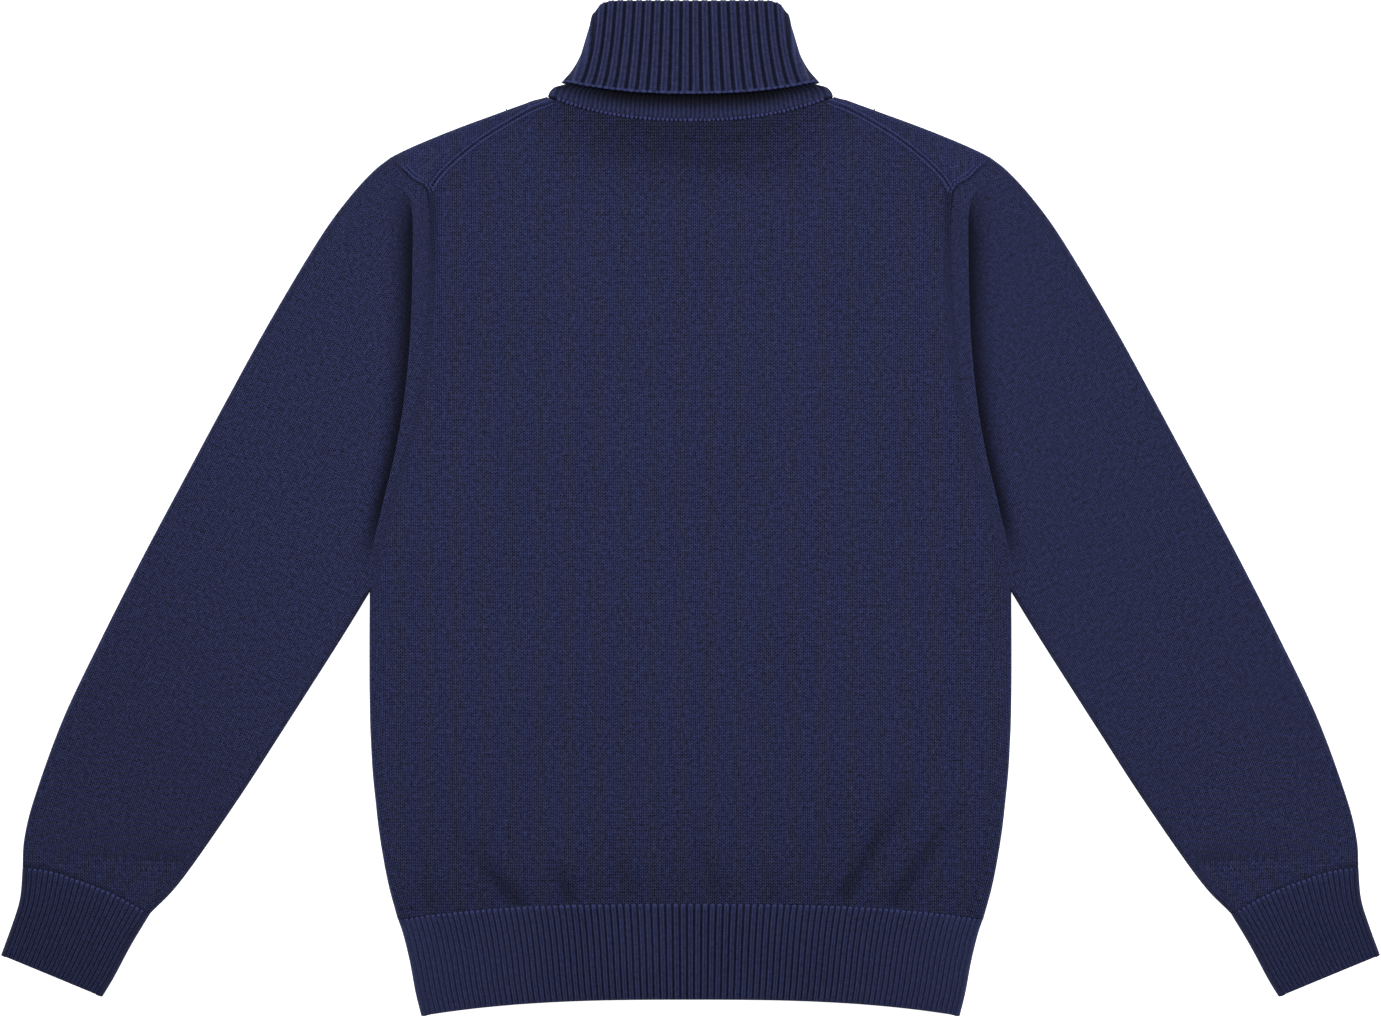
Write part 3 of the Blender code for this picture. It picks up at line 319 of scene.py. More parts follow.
@dataclass
class Wall:
    """One closed piece of cloth: two faces joined by a rim.

    outer and inner are grids of (across, up, z), whose sizes may differ. knit holds the
    place of each outer point in the knitting, (across wales, along wales), in millimetres,
    with one column more than outer on a closed tube. edge_knit and edge_cells give the
    places where the columns of stitches follow an edge, and the cells that use them.
    shade is the share of light that a deep fold leaves at each outer point, and pull how
    far the columns of stitches are drawn apart there.
    """

    outer: Array
    inner: Array
    knit: Array
    shade: Array | None = None
    pull: Array | None = None
    closed: bool = False
    inner_shade: Array | None = None
    edge_knit: Array | None = None
    edge_cells: Array | None = None

    def mesh(self, name: str, side: int = 1) -> bpy.types.Mesh:
        """The wall as a mesh with its knit places as a UV map, facing out.

        Args:
            name: the mesh's name.
            side: -1 for the mirror image.
        """
        points = np.concatenate([self.outer.reshape(-1, 3), self.inner.reshape(-1, 3)])
        start = self.outer.shape[0] * self.outer.shape[1]
        out, out_cells = self._cells(self.outer.shape, 0)
        inn, inn_cells = self._cells(self.inner.shape, start)
        places = self.knit[out_cells[..., 0], out_cells[..., 1]]
        if self.edge_knit is not None:
            chosen = self.edge_cells[out_cells[:, 0, 0], out_cells[:, 0, 1]]
            places[chosen] = self.edge_knit[out_cells[chosen][..., 0], out_cells[chosen][..., 1]]
        inn, inn_cells = inn[:, ::-1], inn_cells[:, ::-1]
        inner_places = self.inner[inn_cells[..., 0], inn_cells[..., 1] % self.inner.shape[1], :2]
        rims = self._rims(start, points)
        flat = [self.knit[:, : self.outer.shape[1]].reshape(-1, 2), points[start:, :2]]
        rim_places = np.concatenate(flat)[np.array(rims).reshape(-1)]
        faces = [*out.tolist(), *inn.tolist(), *rims]
        uv = np.concatenate([places.reshape(-1, 2), inner_places.reshape(-1, 2), rim_places])
        placed = points * (side * MM, MM, MM) - (0, LENGTH / 2 * MM, 0)
        if signed_volume(placed, faces) < 0:
            sizes = [4] * (len(out) + len(inn)) + [3] * len(rims)
            ends = np.cumsum(sizes)
            order = np.concatenate([np.arange(e - 1, e - s - 1, -1) for e, s in zip(ends, sizes)])
            faces, uv = [f[::-1] for f in faces], uv[order]
        mesh = bpy.data.meshes.new(name)
        mesh.from_pydata(placed.tolist(), [], faces)
        mesh.uv_layers.new(name="knit").data.foreach_set("uv", (uv * MM).astype(np.float32).ravel())
        tone = mesh.color_attributes.new("tone", "FLOAT_COLOR", "POINT")
        tone.data.foreach_set("color", self._tone(len(points)))
        mesh.shade_smooth()
        return mesh

    def _tone(self, count: int) -> Array:
        """The tone attribute of count points: red is the shade and green the pull."""
        tone = np.zeros((count, 4), np.float32)
        tone[:, 0] = 1
        start = self.outer.shape[0] * self.outer.shape[1]
        for channel, values in enumerate((self.shade, self.pull)):
            if values is not None:
                tone[:start, channel] = np.broadcast_to(values, self.outer.shape[:2]).ravel()
        if self.inner_shade is not None:
            tone[start:, 0] = np.broadcast_to(self.inner_shade, self.inner.shape[:2]).ravel()
        return tone.ravel()

    def _cells(self, shape: tuple[int, ...], start: int) -> tuple[Array, Array]:
        """Faces of one grid as point numbers, and as row and column numbers of their corners."""
        rows, columns = shape[:2]
        wide = columns if self.closed else columns - 1
        r, c = (k.ravel() for k in np.meshgrid(np.arange(rows - 1), np.arange(wide), indexing="ij"))
        corners = np.stack([np.stack(p, -1) for p in ((r, c), (r, c + 1), (r + 1, c + 1), (r + 1, c))], 1)
        return start + corners[..., 0] * columns + corners[..., 1] % columns, corners

    def _rims(self, start: int, points: Array) -> list[tuple[int, int, int]]:
        """Triangles that join the two faces round their edges."""
        out = np.arange(start).reshape(self.outer.shape[:2])
        inn = start + np.arange(self.inner.shape[0] * self.inner.shape[1]).reshape(self.inner.shape[:2])
        if self.closed:
            out, inn = np.hstack([out, out[:, :1]]), np.hstack([inn, inn[:, :1]])
        made = [f[::-1] for f in strip_between(out[0], inn[0], points)]
        made += strip_between(out[-1], inn[-1], points)
        if not self.closed:
            made += strip_between(out[:, 0], inn[:, 0], points)
            made += [f[::-1] for f in strip_between(out[:, -1], inn[:, -1], points)]
        return made


def signed_volume(points: Array, faces: list) -> float:
    """Six times the volume inside a closed mesh, below zero if its faces point in."""
    total = 0.0
    for count in (3, 4):
        f = np.array([x for x in faces if len(x) == count])
        for k in range(1, count - 1):
            if len(f):
                a, b, c = points[f[:, 0]], points[f[:, k]], points[f[:, k + 1]]
                total += float((a * np.cross(b, c)).sum())
    return total


class Slot(Enum):
    """The cloth's material slots."""

    PLAIN = "plain_knit"
    RIB = "rib_knit"


@dataclass(frozen=True)
class Cut:
    """What a piece of cloth is: its node, its slot and its flat cut in metres."""

    node: str
    slot: Slot
    width: float
    length: float
    area: float
    rests_on: tuple[str, ...] = ()


def put(name: str, data: bpy.types.ID) -> bpy.types.Object:
    """Puts a new object with the data given in the scene."""
    made = bpy.data.objects.new(name, data)
    bpy.context.scene.collection.objects.link(made)
    return made


def dress(name: str, mesh: bpy.types.Mesh, material: bpy.types.Material, cut: Cut) -> bpy.types.Object:
    """Puts a finished piece of cloth in the scene in its node's place.

    Args:
        name: the piece's name.
        mesh: its mesh, in the row frame.
        material: its finish.
        cut: its node, slot and flat cut.

    Returns:
        The piece.
    """
    mesh.materials.append(material)
    piece = put(name, mesh)
    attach(piece, "root")
    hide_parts(cut.node)
    LOG.info("%s: %d faces, replaces %s", name, len(mesh.polygons), cut.node)
    return piece


# ---------------------------------------------------------------- body panels
@dataclass(frozen=True)
class Trough:
    """A soft crease from one plan point to another."""

    across: float
    up: float
    to_across: float
    to_up: float
    depth: float
    width: float

    def at(self, x: Array, up: Array) -> Array:
        """Its depth at plan points. It fades in from its upper end."""
        d = np.array([self.to_across - self.across, self.to_up - self.up])
        px, pu = x - self.across, up - self.up
        t = np.clip((px * d[0] + pu * d[1]) / (d @ d), 0, 1)
        off = np.hypot(px - t * d[0], pu - t * d[1])
        return self.depth * bell(off, self.width) * (0.35 + 0.65 * smooth_step(t * 1.6))


GATHERS = (
    Trough(-203, 118, -194, 86, 0.8, 6),
    Trough(-166, 126, -128, 84, 2.0, 6.5),
    Trough(-103, 118, -90, 88, 1.7, 6),
    Trough(-58, 130, -46, 96, 0.9, 7),
    Trough(4, 138, 21, 94, 1.0, 7),
    Trough(60, 110, 61, 88, 0.6, 6),
    Trough(163, 170, 115, 92, 2.1, 6.5),
    Trough(201, 158, 153, 88, 1.8, 6.5),
    Trough(-62, 660, 58, 657, 0.5, 5),
    Trough(-72, 648, 30, 643, 0.9, 5),
    Trough(-30, 634, 74, 636, 0.7, 6),
    Trough(-64, 622, 10, 621, 0.5, 6),
)


@dataclass(frozen=True)
class Band:
    """A soft dark band across the back, beside the neck seam: the shadow of a slack fold.

    middle is its place across, half its half length and dark the share of light lost.
    """

    middle: float
    below_neck: float
    half: float
    dark: float
    width: float = 2.6

    def at(self, x: Array, below_neck: Array) -> Array:
        """Share of light lost at places across and distances below the neck seam."""
        return self.dark * bell(x - self.middle, self.half) * bell(below_neck - self.below_neck, self.width)


NECK_BANDS = (
    Band(-6.0, 5.0, 62.0, 0.2), Band(18.0, 13.0, 62.0, 0.16),
    Band(-30.0, 20.5, 46.0, 0.12), Band(52.0, 29.5, 48.0, 0.13),
)


@dataclass
class Panel:
    """What both body panels share: a side edge up the side seam and the armhole.

    Its rows are numbered from 0 at the hem rib to 1, where arm_end is the armhole's share.
    """

    arm_end: float = ARM_TURN

    def arm_share(self, v: Array | float) -> Array | float:
        """The share of the armhole at row v."""
        return 1 - (1 - self.arm_end) * (v - SIDE_SHARE) / (1 - SIDE_SHARE)

    def edge(self, v: Array | float) -> Array:
        """The panel's +X edge: up the side seam, then up the armhole."""
        a = np.clip(self.arm_share(v), 0, 1)
        on_side = np.asarray(v <= SIDE_SHARE)[..., None]
        return np.where(on_side, SIDE.at(v / SIDE_SHARE), ARM.at(a) - SEAM * ARM.normal(a))

    def rolled_share(self, v: Array | float) -> Array:
        """How far the edge is rolled: all the way below the underarm, not above it."""
        past = np.clip((1 - self.arm_share(v)) * ARM.length / FOLD, 0, 1)
        return np.where(v <= SIDE_SHARE, 1.0, 1 - np.sqrt(1 - (1 - past) ** 2))


@dataclass
class BackPanel(Panel):
    """The back of the body, which lies uppermost.

    side_rows and arm_rows are the rows beside the side seam and the armhole, end_rows the
    ones in the strip below the shoulder, half_columns the columns on each side of the
    centre line, and edge_wales the stitch columns that follow the edge. waves are
    (height, seed, wavelength). A groove, welt or line is a height, and a name that ends
    in dark the share of light lost.
    """

    arm_end: float = ARM_CORNER
    side_rows: int = 76
    arm_rows: int = 84
    end_rows: int = 20
    end_strip: float = 14.0
    half_columns: int = 66
    column_step: float = NECK_SHARE / 30
    edge_wales: int = 4
    roll_steps: int = 6
    level: float = 6.9
    most: float = 2 * CLOTH + FOLD
    billow: float = 0.25
    billow_across: float = 61.0
    billow_up: float = 83.0
    waves: tuple[tuple[float, int, float], ...] = ((0.12, 3, 70), (0.05, 5, 24))
    puff: float = 1.3
    puff_up: float = 25.0
    puff_width: float = 17.0
    rib_dip: float = 0.4
    rib_dip_width: float = 5.0
    neck_width: float = 16.0
    neck_half: float = 104.0
    edge_width: float = 26.0
    arm_groove: float = 0.24
    arm_groove_width: float = 0.9
    end_groove: float = 0.56
    end_groove_width: float = 0.8
    end_welt: float = 0.3
    end_welt_in: float = 2.2
    end_welt_width: float = 1.1
    line_rise: float = 0.8
    line_reach: float = 12.0
    line_fade: float = 3.0
    line_dark: float = 0.42
    seam_dark: float = 0.5
    crease_dark: float = 0.19
    low_dark: float = 0.06
    neck_dark: float = 0.05
    cut: Cut = Cut("back", Slot.PLAIN, 0.486, 0.612, 0.268, ("front_panel",))

    def row_shares(self) -> Array:
        """Row places from the hem rib to the shoulder seam, closer together at the hem."""
        side = np.linspace(0, 1, self.side_rows) ** 1.25 * SIDE_SHARE
        near_end = self.end_strip / ((1 - ARM_CORNER) * ARM.length)
        arm = np.concatenate([
            np.linspace(0, 1 - near_end, self.arm_rows)[1:],
            1 - near_end * (1 - np.linspace(0, 1, self.end_rows)[1:]),
        ])
        return np.concatenate([side, SIDE_SHARE + arm * (1 - SIDE_SHARE)])

    def end(self, u: Array) -> Array:
        """Where column u ends: on the neck seam or the shoulder seam."""
        x = u / NECK_SHARE * NECK_CORNER
        neck = np.stack([x, neck_up(x, NECK_BACK) - SEAM], -1)
        s = np.clip((np.abs(u) - NECK_SHARE) / (1 - NECK_SHARE), 0, 1)
        shoulder = SHOULDER.at(s) - SEAM * SHOULDER.normal(s)
        shoulder[..., 0] *= np.sign(u)
        return np.where((np.abs(u) <= NECK_SHARE)[..., None], neck, shoulder)

    def plan(self, u: Array, v: Array) -> Array:
        """Plan points of columns u, from -1 to 1, on rows v, from the hem rib up."""
        x = u * RIB_TOP_HALF
        right = self.edge(v)
        low_end = np.array([RIB_TOP_HALF, RIB_TOP_SIDE])
        ends = np.array([mirrored(low_end), low_end, *self.end(np.array([-1.0, 1.0]))])
        low = np.stack([x, rib_top_up(x)], -1)
        return coons(low, self.end(u), mirrored(right), right, ends, (u + 1) / 2, v)

    def height(self, p: Array, edge_in: Array, v: Array) -> Array:
        """Height of the outer face.

        Args:
            p: plan points. edge_in: their distance from the side edge. v: their rows.
        """
        x, up = p[..., 0], p[..., 1]
        above_rib, below_neck = from_seams(p)
        level = self.level + self.billow * np.sin(x / self.billow_across + 1.1) * np.sin(up / self.billow_up)
        for rise, seed, scale in self.waves:
            level = level + rise * soft_waves(x, up, seed, scale)
        level = level + self.puff * bell(above_rib - self.puff_up, self.puff_width)
        level = level - self.rib_dip * bell(above_rib, self.rib_dip_width)
        neck = bell(below_neck, self.neck_width) * (np.abs(x) < self.neck_half)
        level = level + (NECK_TOP - self.level) * neck
        for gather in GATHERS:
            level = level - gather.at(x, up)
        edge = np.where(v <= SIDE_SHARE, FOLD_HEIGHT, armhole_top(self.arm_share(v)))
        near = bell(edge_in, self.edge_width)
        level = np.minimum(level * (1 - near) + edge * near, self.most)
        end_in = self.end_in(v)
        lines, between = self.arm_lines(edge_in, v)
        arm = np.where(v > SIDE_SHARE, self.arm_groove * bell(edge_in, self.arm_groove_width), 0)
        groove = np.maximum(arm, self.end_groove * bell(end_in, self.end_groove_width))
        welt = self.end_welt * bell(end_in - self.end_welt_in, self.end_welt_width)
        return level - groove + self.line_rise * lines * (1 - between) + welt

    def arm_lines(self, edge_in: Array, v: Array) -> tuple[Array, Array]:
        """The columns of stitches that show beside the armhole.

        Args:
            edge_in: distance from the side edge. v: the rows.

        Returns:
            How clearly they stand out, and how deep between two of them a point is.
        """
        from_corner = self.arm_share(v) - ARM_CORNER
        clear = np.where(v > SIDE_SHARE, 0.2 + 0.8 * smooth_step(1 - from_corner / 0.34), 0)
        clear = clear * smooth_step((self.line_reach - edge_in) / self.line_fade)
        return clear, 0.5 + 0.5 * np.cos(2 * math.pi * edge_in / WALE)

    def shade(self, p: Array, edge_in: Array, v: Array) -> Array:
        """Share of light left: less in seams, in creases, above the hem rib and below the neck.

        Args:
            p: plan points. edge_in: their distance from the side edge. v: their rows.
        """
        x, up = p[..., 0], p[..., 1]
        above_rib, below_neck = from_seams(p)
        lines, between = self.arm_lines(edge_in, v)
        seam = np.where(v > SIDE_SHARE, (0.15 + 0.5 * lines**4) * bell(edge_in, 1.0), 0)
        seam = np.maximum(seam, self.seam_dark * bell(self.end_in(v), 0.9))
        seam = np.maximum(seam, self.line_dark * lines * between * (edge_in > 0.8))
        crease = sum(gather.at(x, up) for gather in GATHERS) * self.crease_dark
        low = self.low_dark * bell(above_rib, 150)
        neck = self.neck_dark * (bell(below_neck - 8, 26) + bell(below_neck, 110)) * bell(x, 130)
        for band in NECK_BANDS:
            neck = neck + band.at(x, below_neck)
        return (1 - seam) * (1 - crease) * (1 - low) * (1 - neck)

    def end_in(self, v: Array) -> Array:
        """Distance of rows from the shoulder and neck seams, and far off below the underarm."""
        far = (1 - v) / (1 - SIDE_SHARE) * (1 - ARM_CORNER) * ARM.length
        return np.where(v > SIDE_SHARE, far, FAR)

    def pull(self, p: Array) -> Array:
        """How far the columns of stitches are drawn apart, by the neck and the hem rib."""
        above_rib, below_neck = from_seams(p)
        neck = bell(below_neck, 34) * smooth_step(1.5 - np.abs(p[..., 0]) / 100)
        uneven = 0.04 * soft_waves(p[..., 0], p[..., 1], 31, 90)
        return 0.25 + uneven + 0.9 * neck + 0.3 * bell(above_rib, 50)

    def wall(self) -> Wall:
        """The panel's wall, with columns of stitches that follow its side edges."""
        v = self.row_shares()
        rows = v[:, None]
        half = self.edge(v)[:, 0]
        rolled = self.rolled_share(v)[:, None]
        angles = np.linspace(0, math.pi / 2, self.roll_steps + 1)
        strip_in = np.arange(self.edge_wales * WALE, FOLD + 0.5, -0.9)
        outer_in = np.concatenate([strip_in, FOLD * (1 - np.sin(angles))])
        inner_roll = np.concatenate([strip_in, FOLD - (FOLD - CLOTH) * np.sin(angles)])
        turn = np.concatenate([strip_in * 0, 1 - np.cos(angles)])
        inner_in = outer_in * (1 - rolled) + inner_roll * rolled
        outer_in = np.broadcast_to(outer_in, inner_in.shape)
        turn = np.broadcast_to(turn, inner_in.shape)
        inside = np.arange(-self.half_columns, self.half_columns + 1) * self.column_step
        inside = np.broadcast_to(inside, (len(v), len(inside)))
        wide_in = (1 - np.abs(inside)) * half[:, None]

        def across(edge_in: Array) -> Array:
            """Column values of a row whose side points are edge_in from its edges."""
            right = 1 - edge_in / half[:, None]
            return np.hstack([-right[:, ::-1], inside, right])

        u = across(outer_in)
        row_grid = np.broadcast_to(rows, u.shape)
        p = self.plan(u, row_grid)
        q = self.plan(across(inner_in), row_grid)
        edge_in = np.hstack([outer_in[:, ::-1], wide_in, outer_in])
        z = self.height(p, edge_in, row_grid)
        turns = np.hstack([turn[:, ::-1], wide_in * 0, turn])
        seam_z = FOLD + SEAM
        outer_z = z + (seam_z - z) * turns * rolled
        inner_z = (z - CLOTH) + (seam_z - (z - CLOTH)) * turns
        inner_z = (outer_z - CLOTH) * (1 - rolled) + inner_z * rolled
        above_underarm = SIDE.length + (1 - self.arm_share(v)) * ARM.length
        run = np.where(v > SIDE_SHARE, above_underarm, v * SIDE.length / SIDE_SHARE)
        from_edge = np.sign(u) * (edge_in + KNIT_APART)
        edge_knit = np.dstack([from_edge, np.broadcast_to(run[:, None], u.shape)])
        strip = outer_in.shape[1] - 1
        cells = np.zeros((len(v) - 1, u.shape[1] - 1), bool)
        cells[:, :strip] = cells[:, -strip:] = True
        return Wall(
            np.dstack([p, outer_z]), np.dstack([q, inner_z]), np.dstack([p[..., 0] + WALE / 2, p[..., 1]]),
            self.shade(p, edge_in, row_grid), self.pull(p), edge_knit=edge_knit, edge_cells=cells,
        )

    def build(self, material: bpy.types.Material) -> bpy.types.Object:
        """Makes the panel and puts it in its node's place."""
        return dress("back_panel", self.wall().mesh("back_panel"), material, self.cut)


@dataclass(frozen=True)
class Turn:
    """How a front column beside the neck ends.

    share is the part of the half turn round the shoulder that it takes, and spread how
    far it spreads along the fold.
    """

    column: float
    share: float
    spread: float


@dataclass
class FrontPanel(Panel):
    """The front of the body, flat on the surface, which wraps over the shoulders.

    It is a coarse net of points, which is made finer_by times as fine. flat_shares and
    shoulder_columns are the columns that end below the neck and on the shoulder, side_rows
    and arm_rows the rows up the side seam and the armhole, and wrap_steps the rows past
    the flat part. neck_strip is the width of the strip along the front neck seam.
    fold_start is where the shoulder fold leaves the neck, fold_off how far from the
    shoulder seam it is looked for, half_width the panel's, and edge_share how far past the
    last column the points of the rolled edge are spread.
    """

    flat_shares: tuple[float, ...] = (0, 0.27, 0.52, 0.76, 0.9)
    turns: tuple[Turn, ...] = (Turn(0.36, 0.25, 1.2), Turn(0.38, 0.5, 2.6), Turn(0.40, 0.75, 4.2))
    shoulder_columns: tuple[float, ...] = (0.5, 0.58, 0.67, 0.76, 0.85, 0.93)
    side_rows: tuple[float, ...] = (0, 0.12, 0.34, 0.66, 1)
    arm_rows: tuple[float, ...] = (0.82, 0.66, 0.5, 0.34, 0.18)
    wrap_steps: int = 5
    neck_strip: float = 10.0
    fold_start: float = 6.2
    fold_off: float = 10.0
    half_width: float = 240.0
    edge_share: float = 0.2
    finer_by: int = 4
    cut: Cut = Cut("front", Slot.PLAIN, 0.486, 0.632, 0.266)

    def fold_spot(self, u: float) -> tuple[Array, Array]:
        """The shoulder fold's plan point for a column, and the way out over it."""
        s = (u - NECK_SHARE) / (1 - NECK_SHARE)
        seam = SHOULDER.at(s)
        start = self.fold_start / SHOULDER_FOLD.length
        near = SHOULDER_FOLD.share_near(seam + SHOULDER.normal(s) * self.fold_off)
        share = start + (1 - start) * (near * (1 - s**2) + s**2)
        spot = SHOULDER_FOLD.at(share)
        return spot, unit((1 - s) * SHOULDER_FOLD.normal(share) + s * unit(spot - seam))

    def turn_at(self, u: float) -> Turn | None:
        """The turn of a column beside the neck, or None for any other."""
        return next((turn for turn in self.turns if abs(u - turn.column) < SAME), None)

    def flat_end(self, u: float) -> Array:
        """Where the flat part of a +X column ends, in plan."""
        turn = self.turn_at(u)
        if turn:
            return SHOULDER_FOLD.at(0) - SHOULDER_FOLD.normal(0) * FOLD + FOLD_WAY * turn.spread
        if u > 1 - SAME:
            return ARM.at(ARM_TURN) - SEAM * ARM.normal(ARM_TURN)
        if u >= NECK_SHARE - SAME:
            spot, way = self.fold_spot(u)
            return spot - way * FOLD
        x = u / self.turns[0].column * NECK_STRAIGHT
        return np.array([x, float(neck_up(x, NECK_FRONT)) - self.neck_strip])

    def wrap(self, u: float, back: BackPanel) -> tuple[list, list]:
        """Outer and inner points of a +X column past its flat part.

        Args:
            u: the column. back: the panel that the shoulder seam joins this one to.
        """
        base, turn = self.flat_end(u), self.turn_at(u)
        if u < self.turns[0].column - SAME:
            step = (self.neck_strip - SEAM) / self.wrap_steps
            line = [base + (0, step * k) for k in range(1, self.wrap_steps + 1)]
            return [(*p, 0.0) for p in line], [(*p, CLOTH) for p in line]
        if turn:
            way, drift = SHOULDER_FOLD.normal(0), FOLD_WAY * turn.spread
            angles = turn.share * math.pi * np.arange(1, self.wrap_steps + 1) / self.wrap_steps
        else:
            way = unit(ARM.at(0) - ARM.at(ARM_TURN)) if u > 1 - SAME else self.fold_spot(u)[1]
            drift, angles = 0, math.pi * np.arange(1, self.wrap_steps) / (self.wrap_steps - 1)
        outer, inner = [], []
        for angle in angles:
            for made, radius in ((outer, FOLD), (inner, FOLD - CLOTH)):
                p = base + way * radius * math.sin(angle) - drift * angle / angles[-1]
                made.append((*p, FOLD - radius * math.cos(angle)))
        if not turn:
            s = (u - NECK_SHARE) / (1 - NECK_SHARE)
            end = SHOULDER.at(s) + SEAM * SHOULDER.normal(s)
            edge_in = np.array((1 - u) * self.half_width)
            z = float(back.height(SHOULDER.at(s), edge_in, np.array(1.0)))
            outer.append((*end, z))
            inner.append((*end, z - CLOTH))
        return outer, inner

    def flat_row(self, v: float, columns: list[float]) -> tuple[list, list]:
        """Outer and inner points of one +X half row on the surface, with its rolled edge."""
        low_end, high_end = np.array([RIB_TOP_HALF, RIB_TOP_SIDE]), self.flat_end(1.0)
        ends = np.array([mirrored(low_end), low_end, mirrored(high_end), high_end])
        right = self.edge(v)
        outer, inner = [], []
        for u in columns:
            low = np.array([u * RIB_TOP_HALF, float(rib_top_up(u * RIB_TOP_HALF))])
            share = np.array((u + 1) / 2)
            p = coons(low, self.flat_end(u), mirrored(right), right, ends, share, np.array(v))
            outer.append((*p, 0.0))
            inner.append((*p, CLOTH))
        inward = unit(outer[-1][:2] - right)
        rolled, height = float(self.rolled_share(v)), FOLD - SEAM
        for angle in QUARTER_ROLL:
            out_in, turn = FOLD * (1 - math.sin(angle)), 1 - math.cos(angle)
            inn_in = FOLD - (FOLD - CLOTH) * math.sin(angle)
            inn_in = out_in * (1 - rolled) + inn_in * rolled
            z = height * turn * rolled
            inner_z = (z + CLOTH) * (1 - rolled) + (CLOTH + (height - CLOTH) * turn) * rolled
            outer.append((*(right + inward * out_in), z))
            inner.append((*(right + inward * inn_in), inner_z))
        return outer, inner

    def rows(self) -> list[float]:
        """Row values from the hem rib up to where the cloth turns over the shoulder."""
        turn = [1 - ARM_TURN * (1 - math.sin(math.pi / 4)), 1 - ARM_TURN]
        arm = [*turn, *self.arm_rows, ARM_CORNER, ARM_TURN]
        return [s * SIDE_SHARE for s in self.side_rows] + [
            SIDE_SHARE + (1 - SIDE_SHARE) * (1 - a) / (1 - ARM_TURN) for a in arm
        ]

    def wall(self, back: BackPanel) -> Wall:
        """The panel's wall, a coarse net of points made finer on smooth curves."""
        columns = [s * self.turns[0].column for s in self.flat_shares]
        columns += [*(turn.column for turn in self.turns), NECK_SHARE, *self.shoulder_columns]
        halves = [self.flat_row(v, columns) for v in self.rows()]
        wraps = [self.wrap(u, back) for u in columns]
        last, before = self.wrap(1.0, back), wraps[-1]
        grids = []
        for k in (0, 1):
            spots = [np.array(w[k]) for w in wraps]
            for angle in QUARTER_ROLL:
                share = (1 - math.sin(angle)) * self.edge_share
                spots.append(np.array(last[k]) * (1 - share) + np.array(before[k]) * share)
            face = [h[k] for h in halves] + [[s[j] for s in spots] for j in range(self.wrap_steps)]
            half = np.array(face, float)
            grid = np.concatenate([half[:, :0:-1] * (-1, 1, 1), half], axis=1)
            grid = finer(grid, self.finer_by)
            grids.append(finer(grid.transpose(1, 0, 2), self.finer_by).transpose(1, 0, 2))
        outer, inner = grids
        outer[..., 2] = np.maximum(outer[..., 2], 0)
        run = np.cumsum(np.linalg.norm(np.diff(outer, axis=0, prepend=outer[:1]), axis=-1), axis=0)
        return Wall(outer, inner, np.dstack([outer[..., 0] + WALE / 2, run]))

    def build(self, material: bpy.types.Material, back: BackPanel) -> bpy.types.Object:
        """Makes the panel and puts it in its node's place."""
        return dress("front_panel", self.wall(back).mesh("front_panel"), material, self.cut)


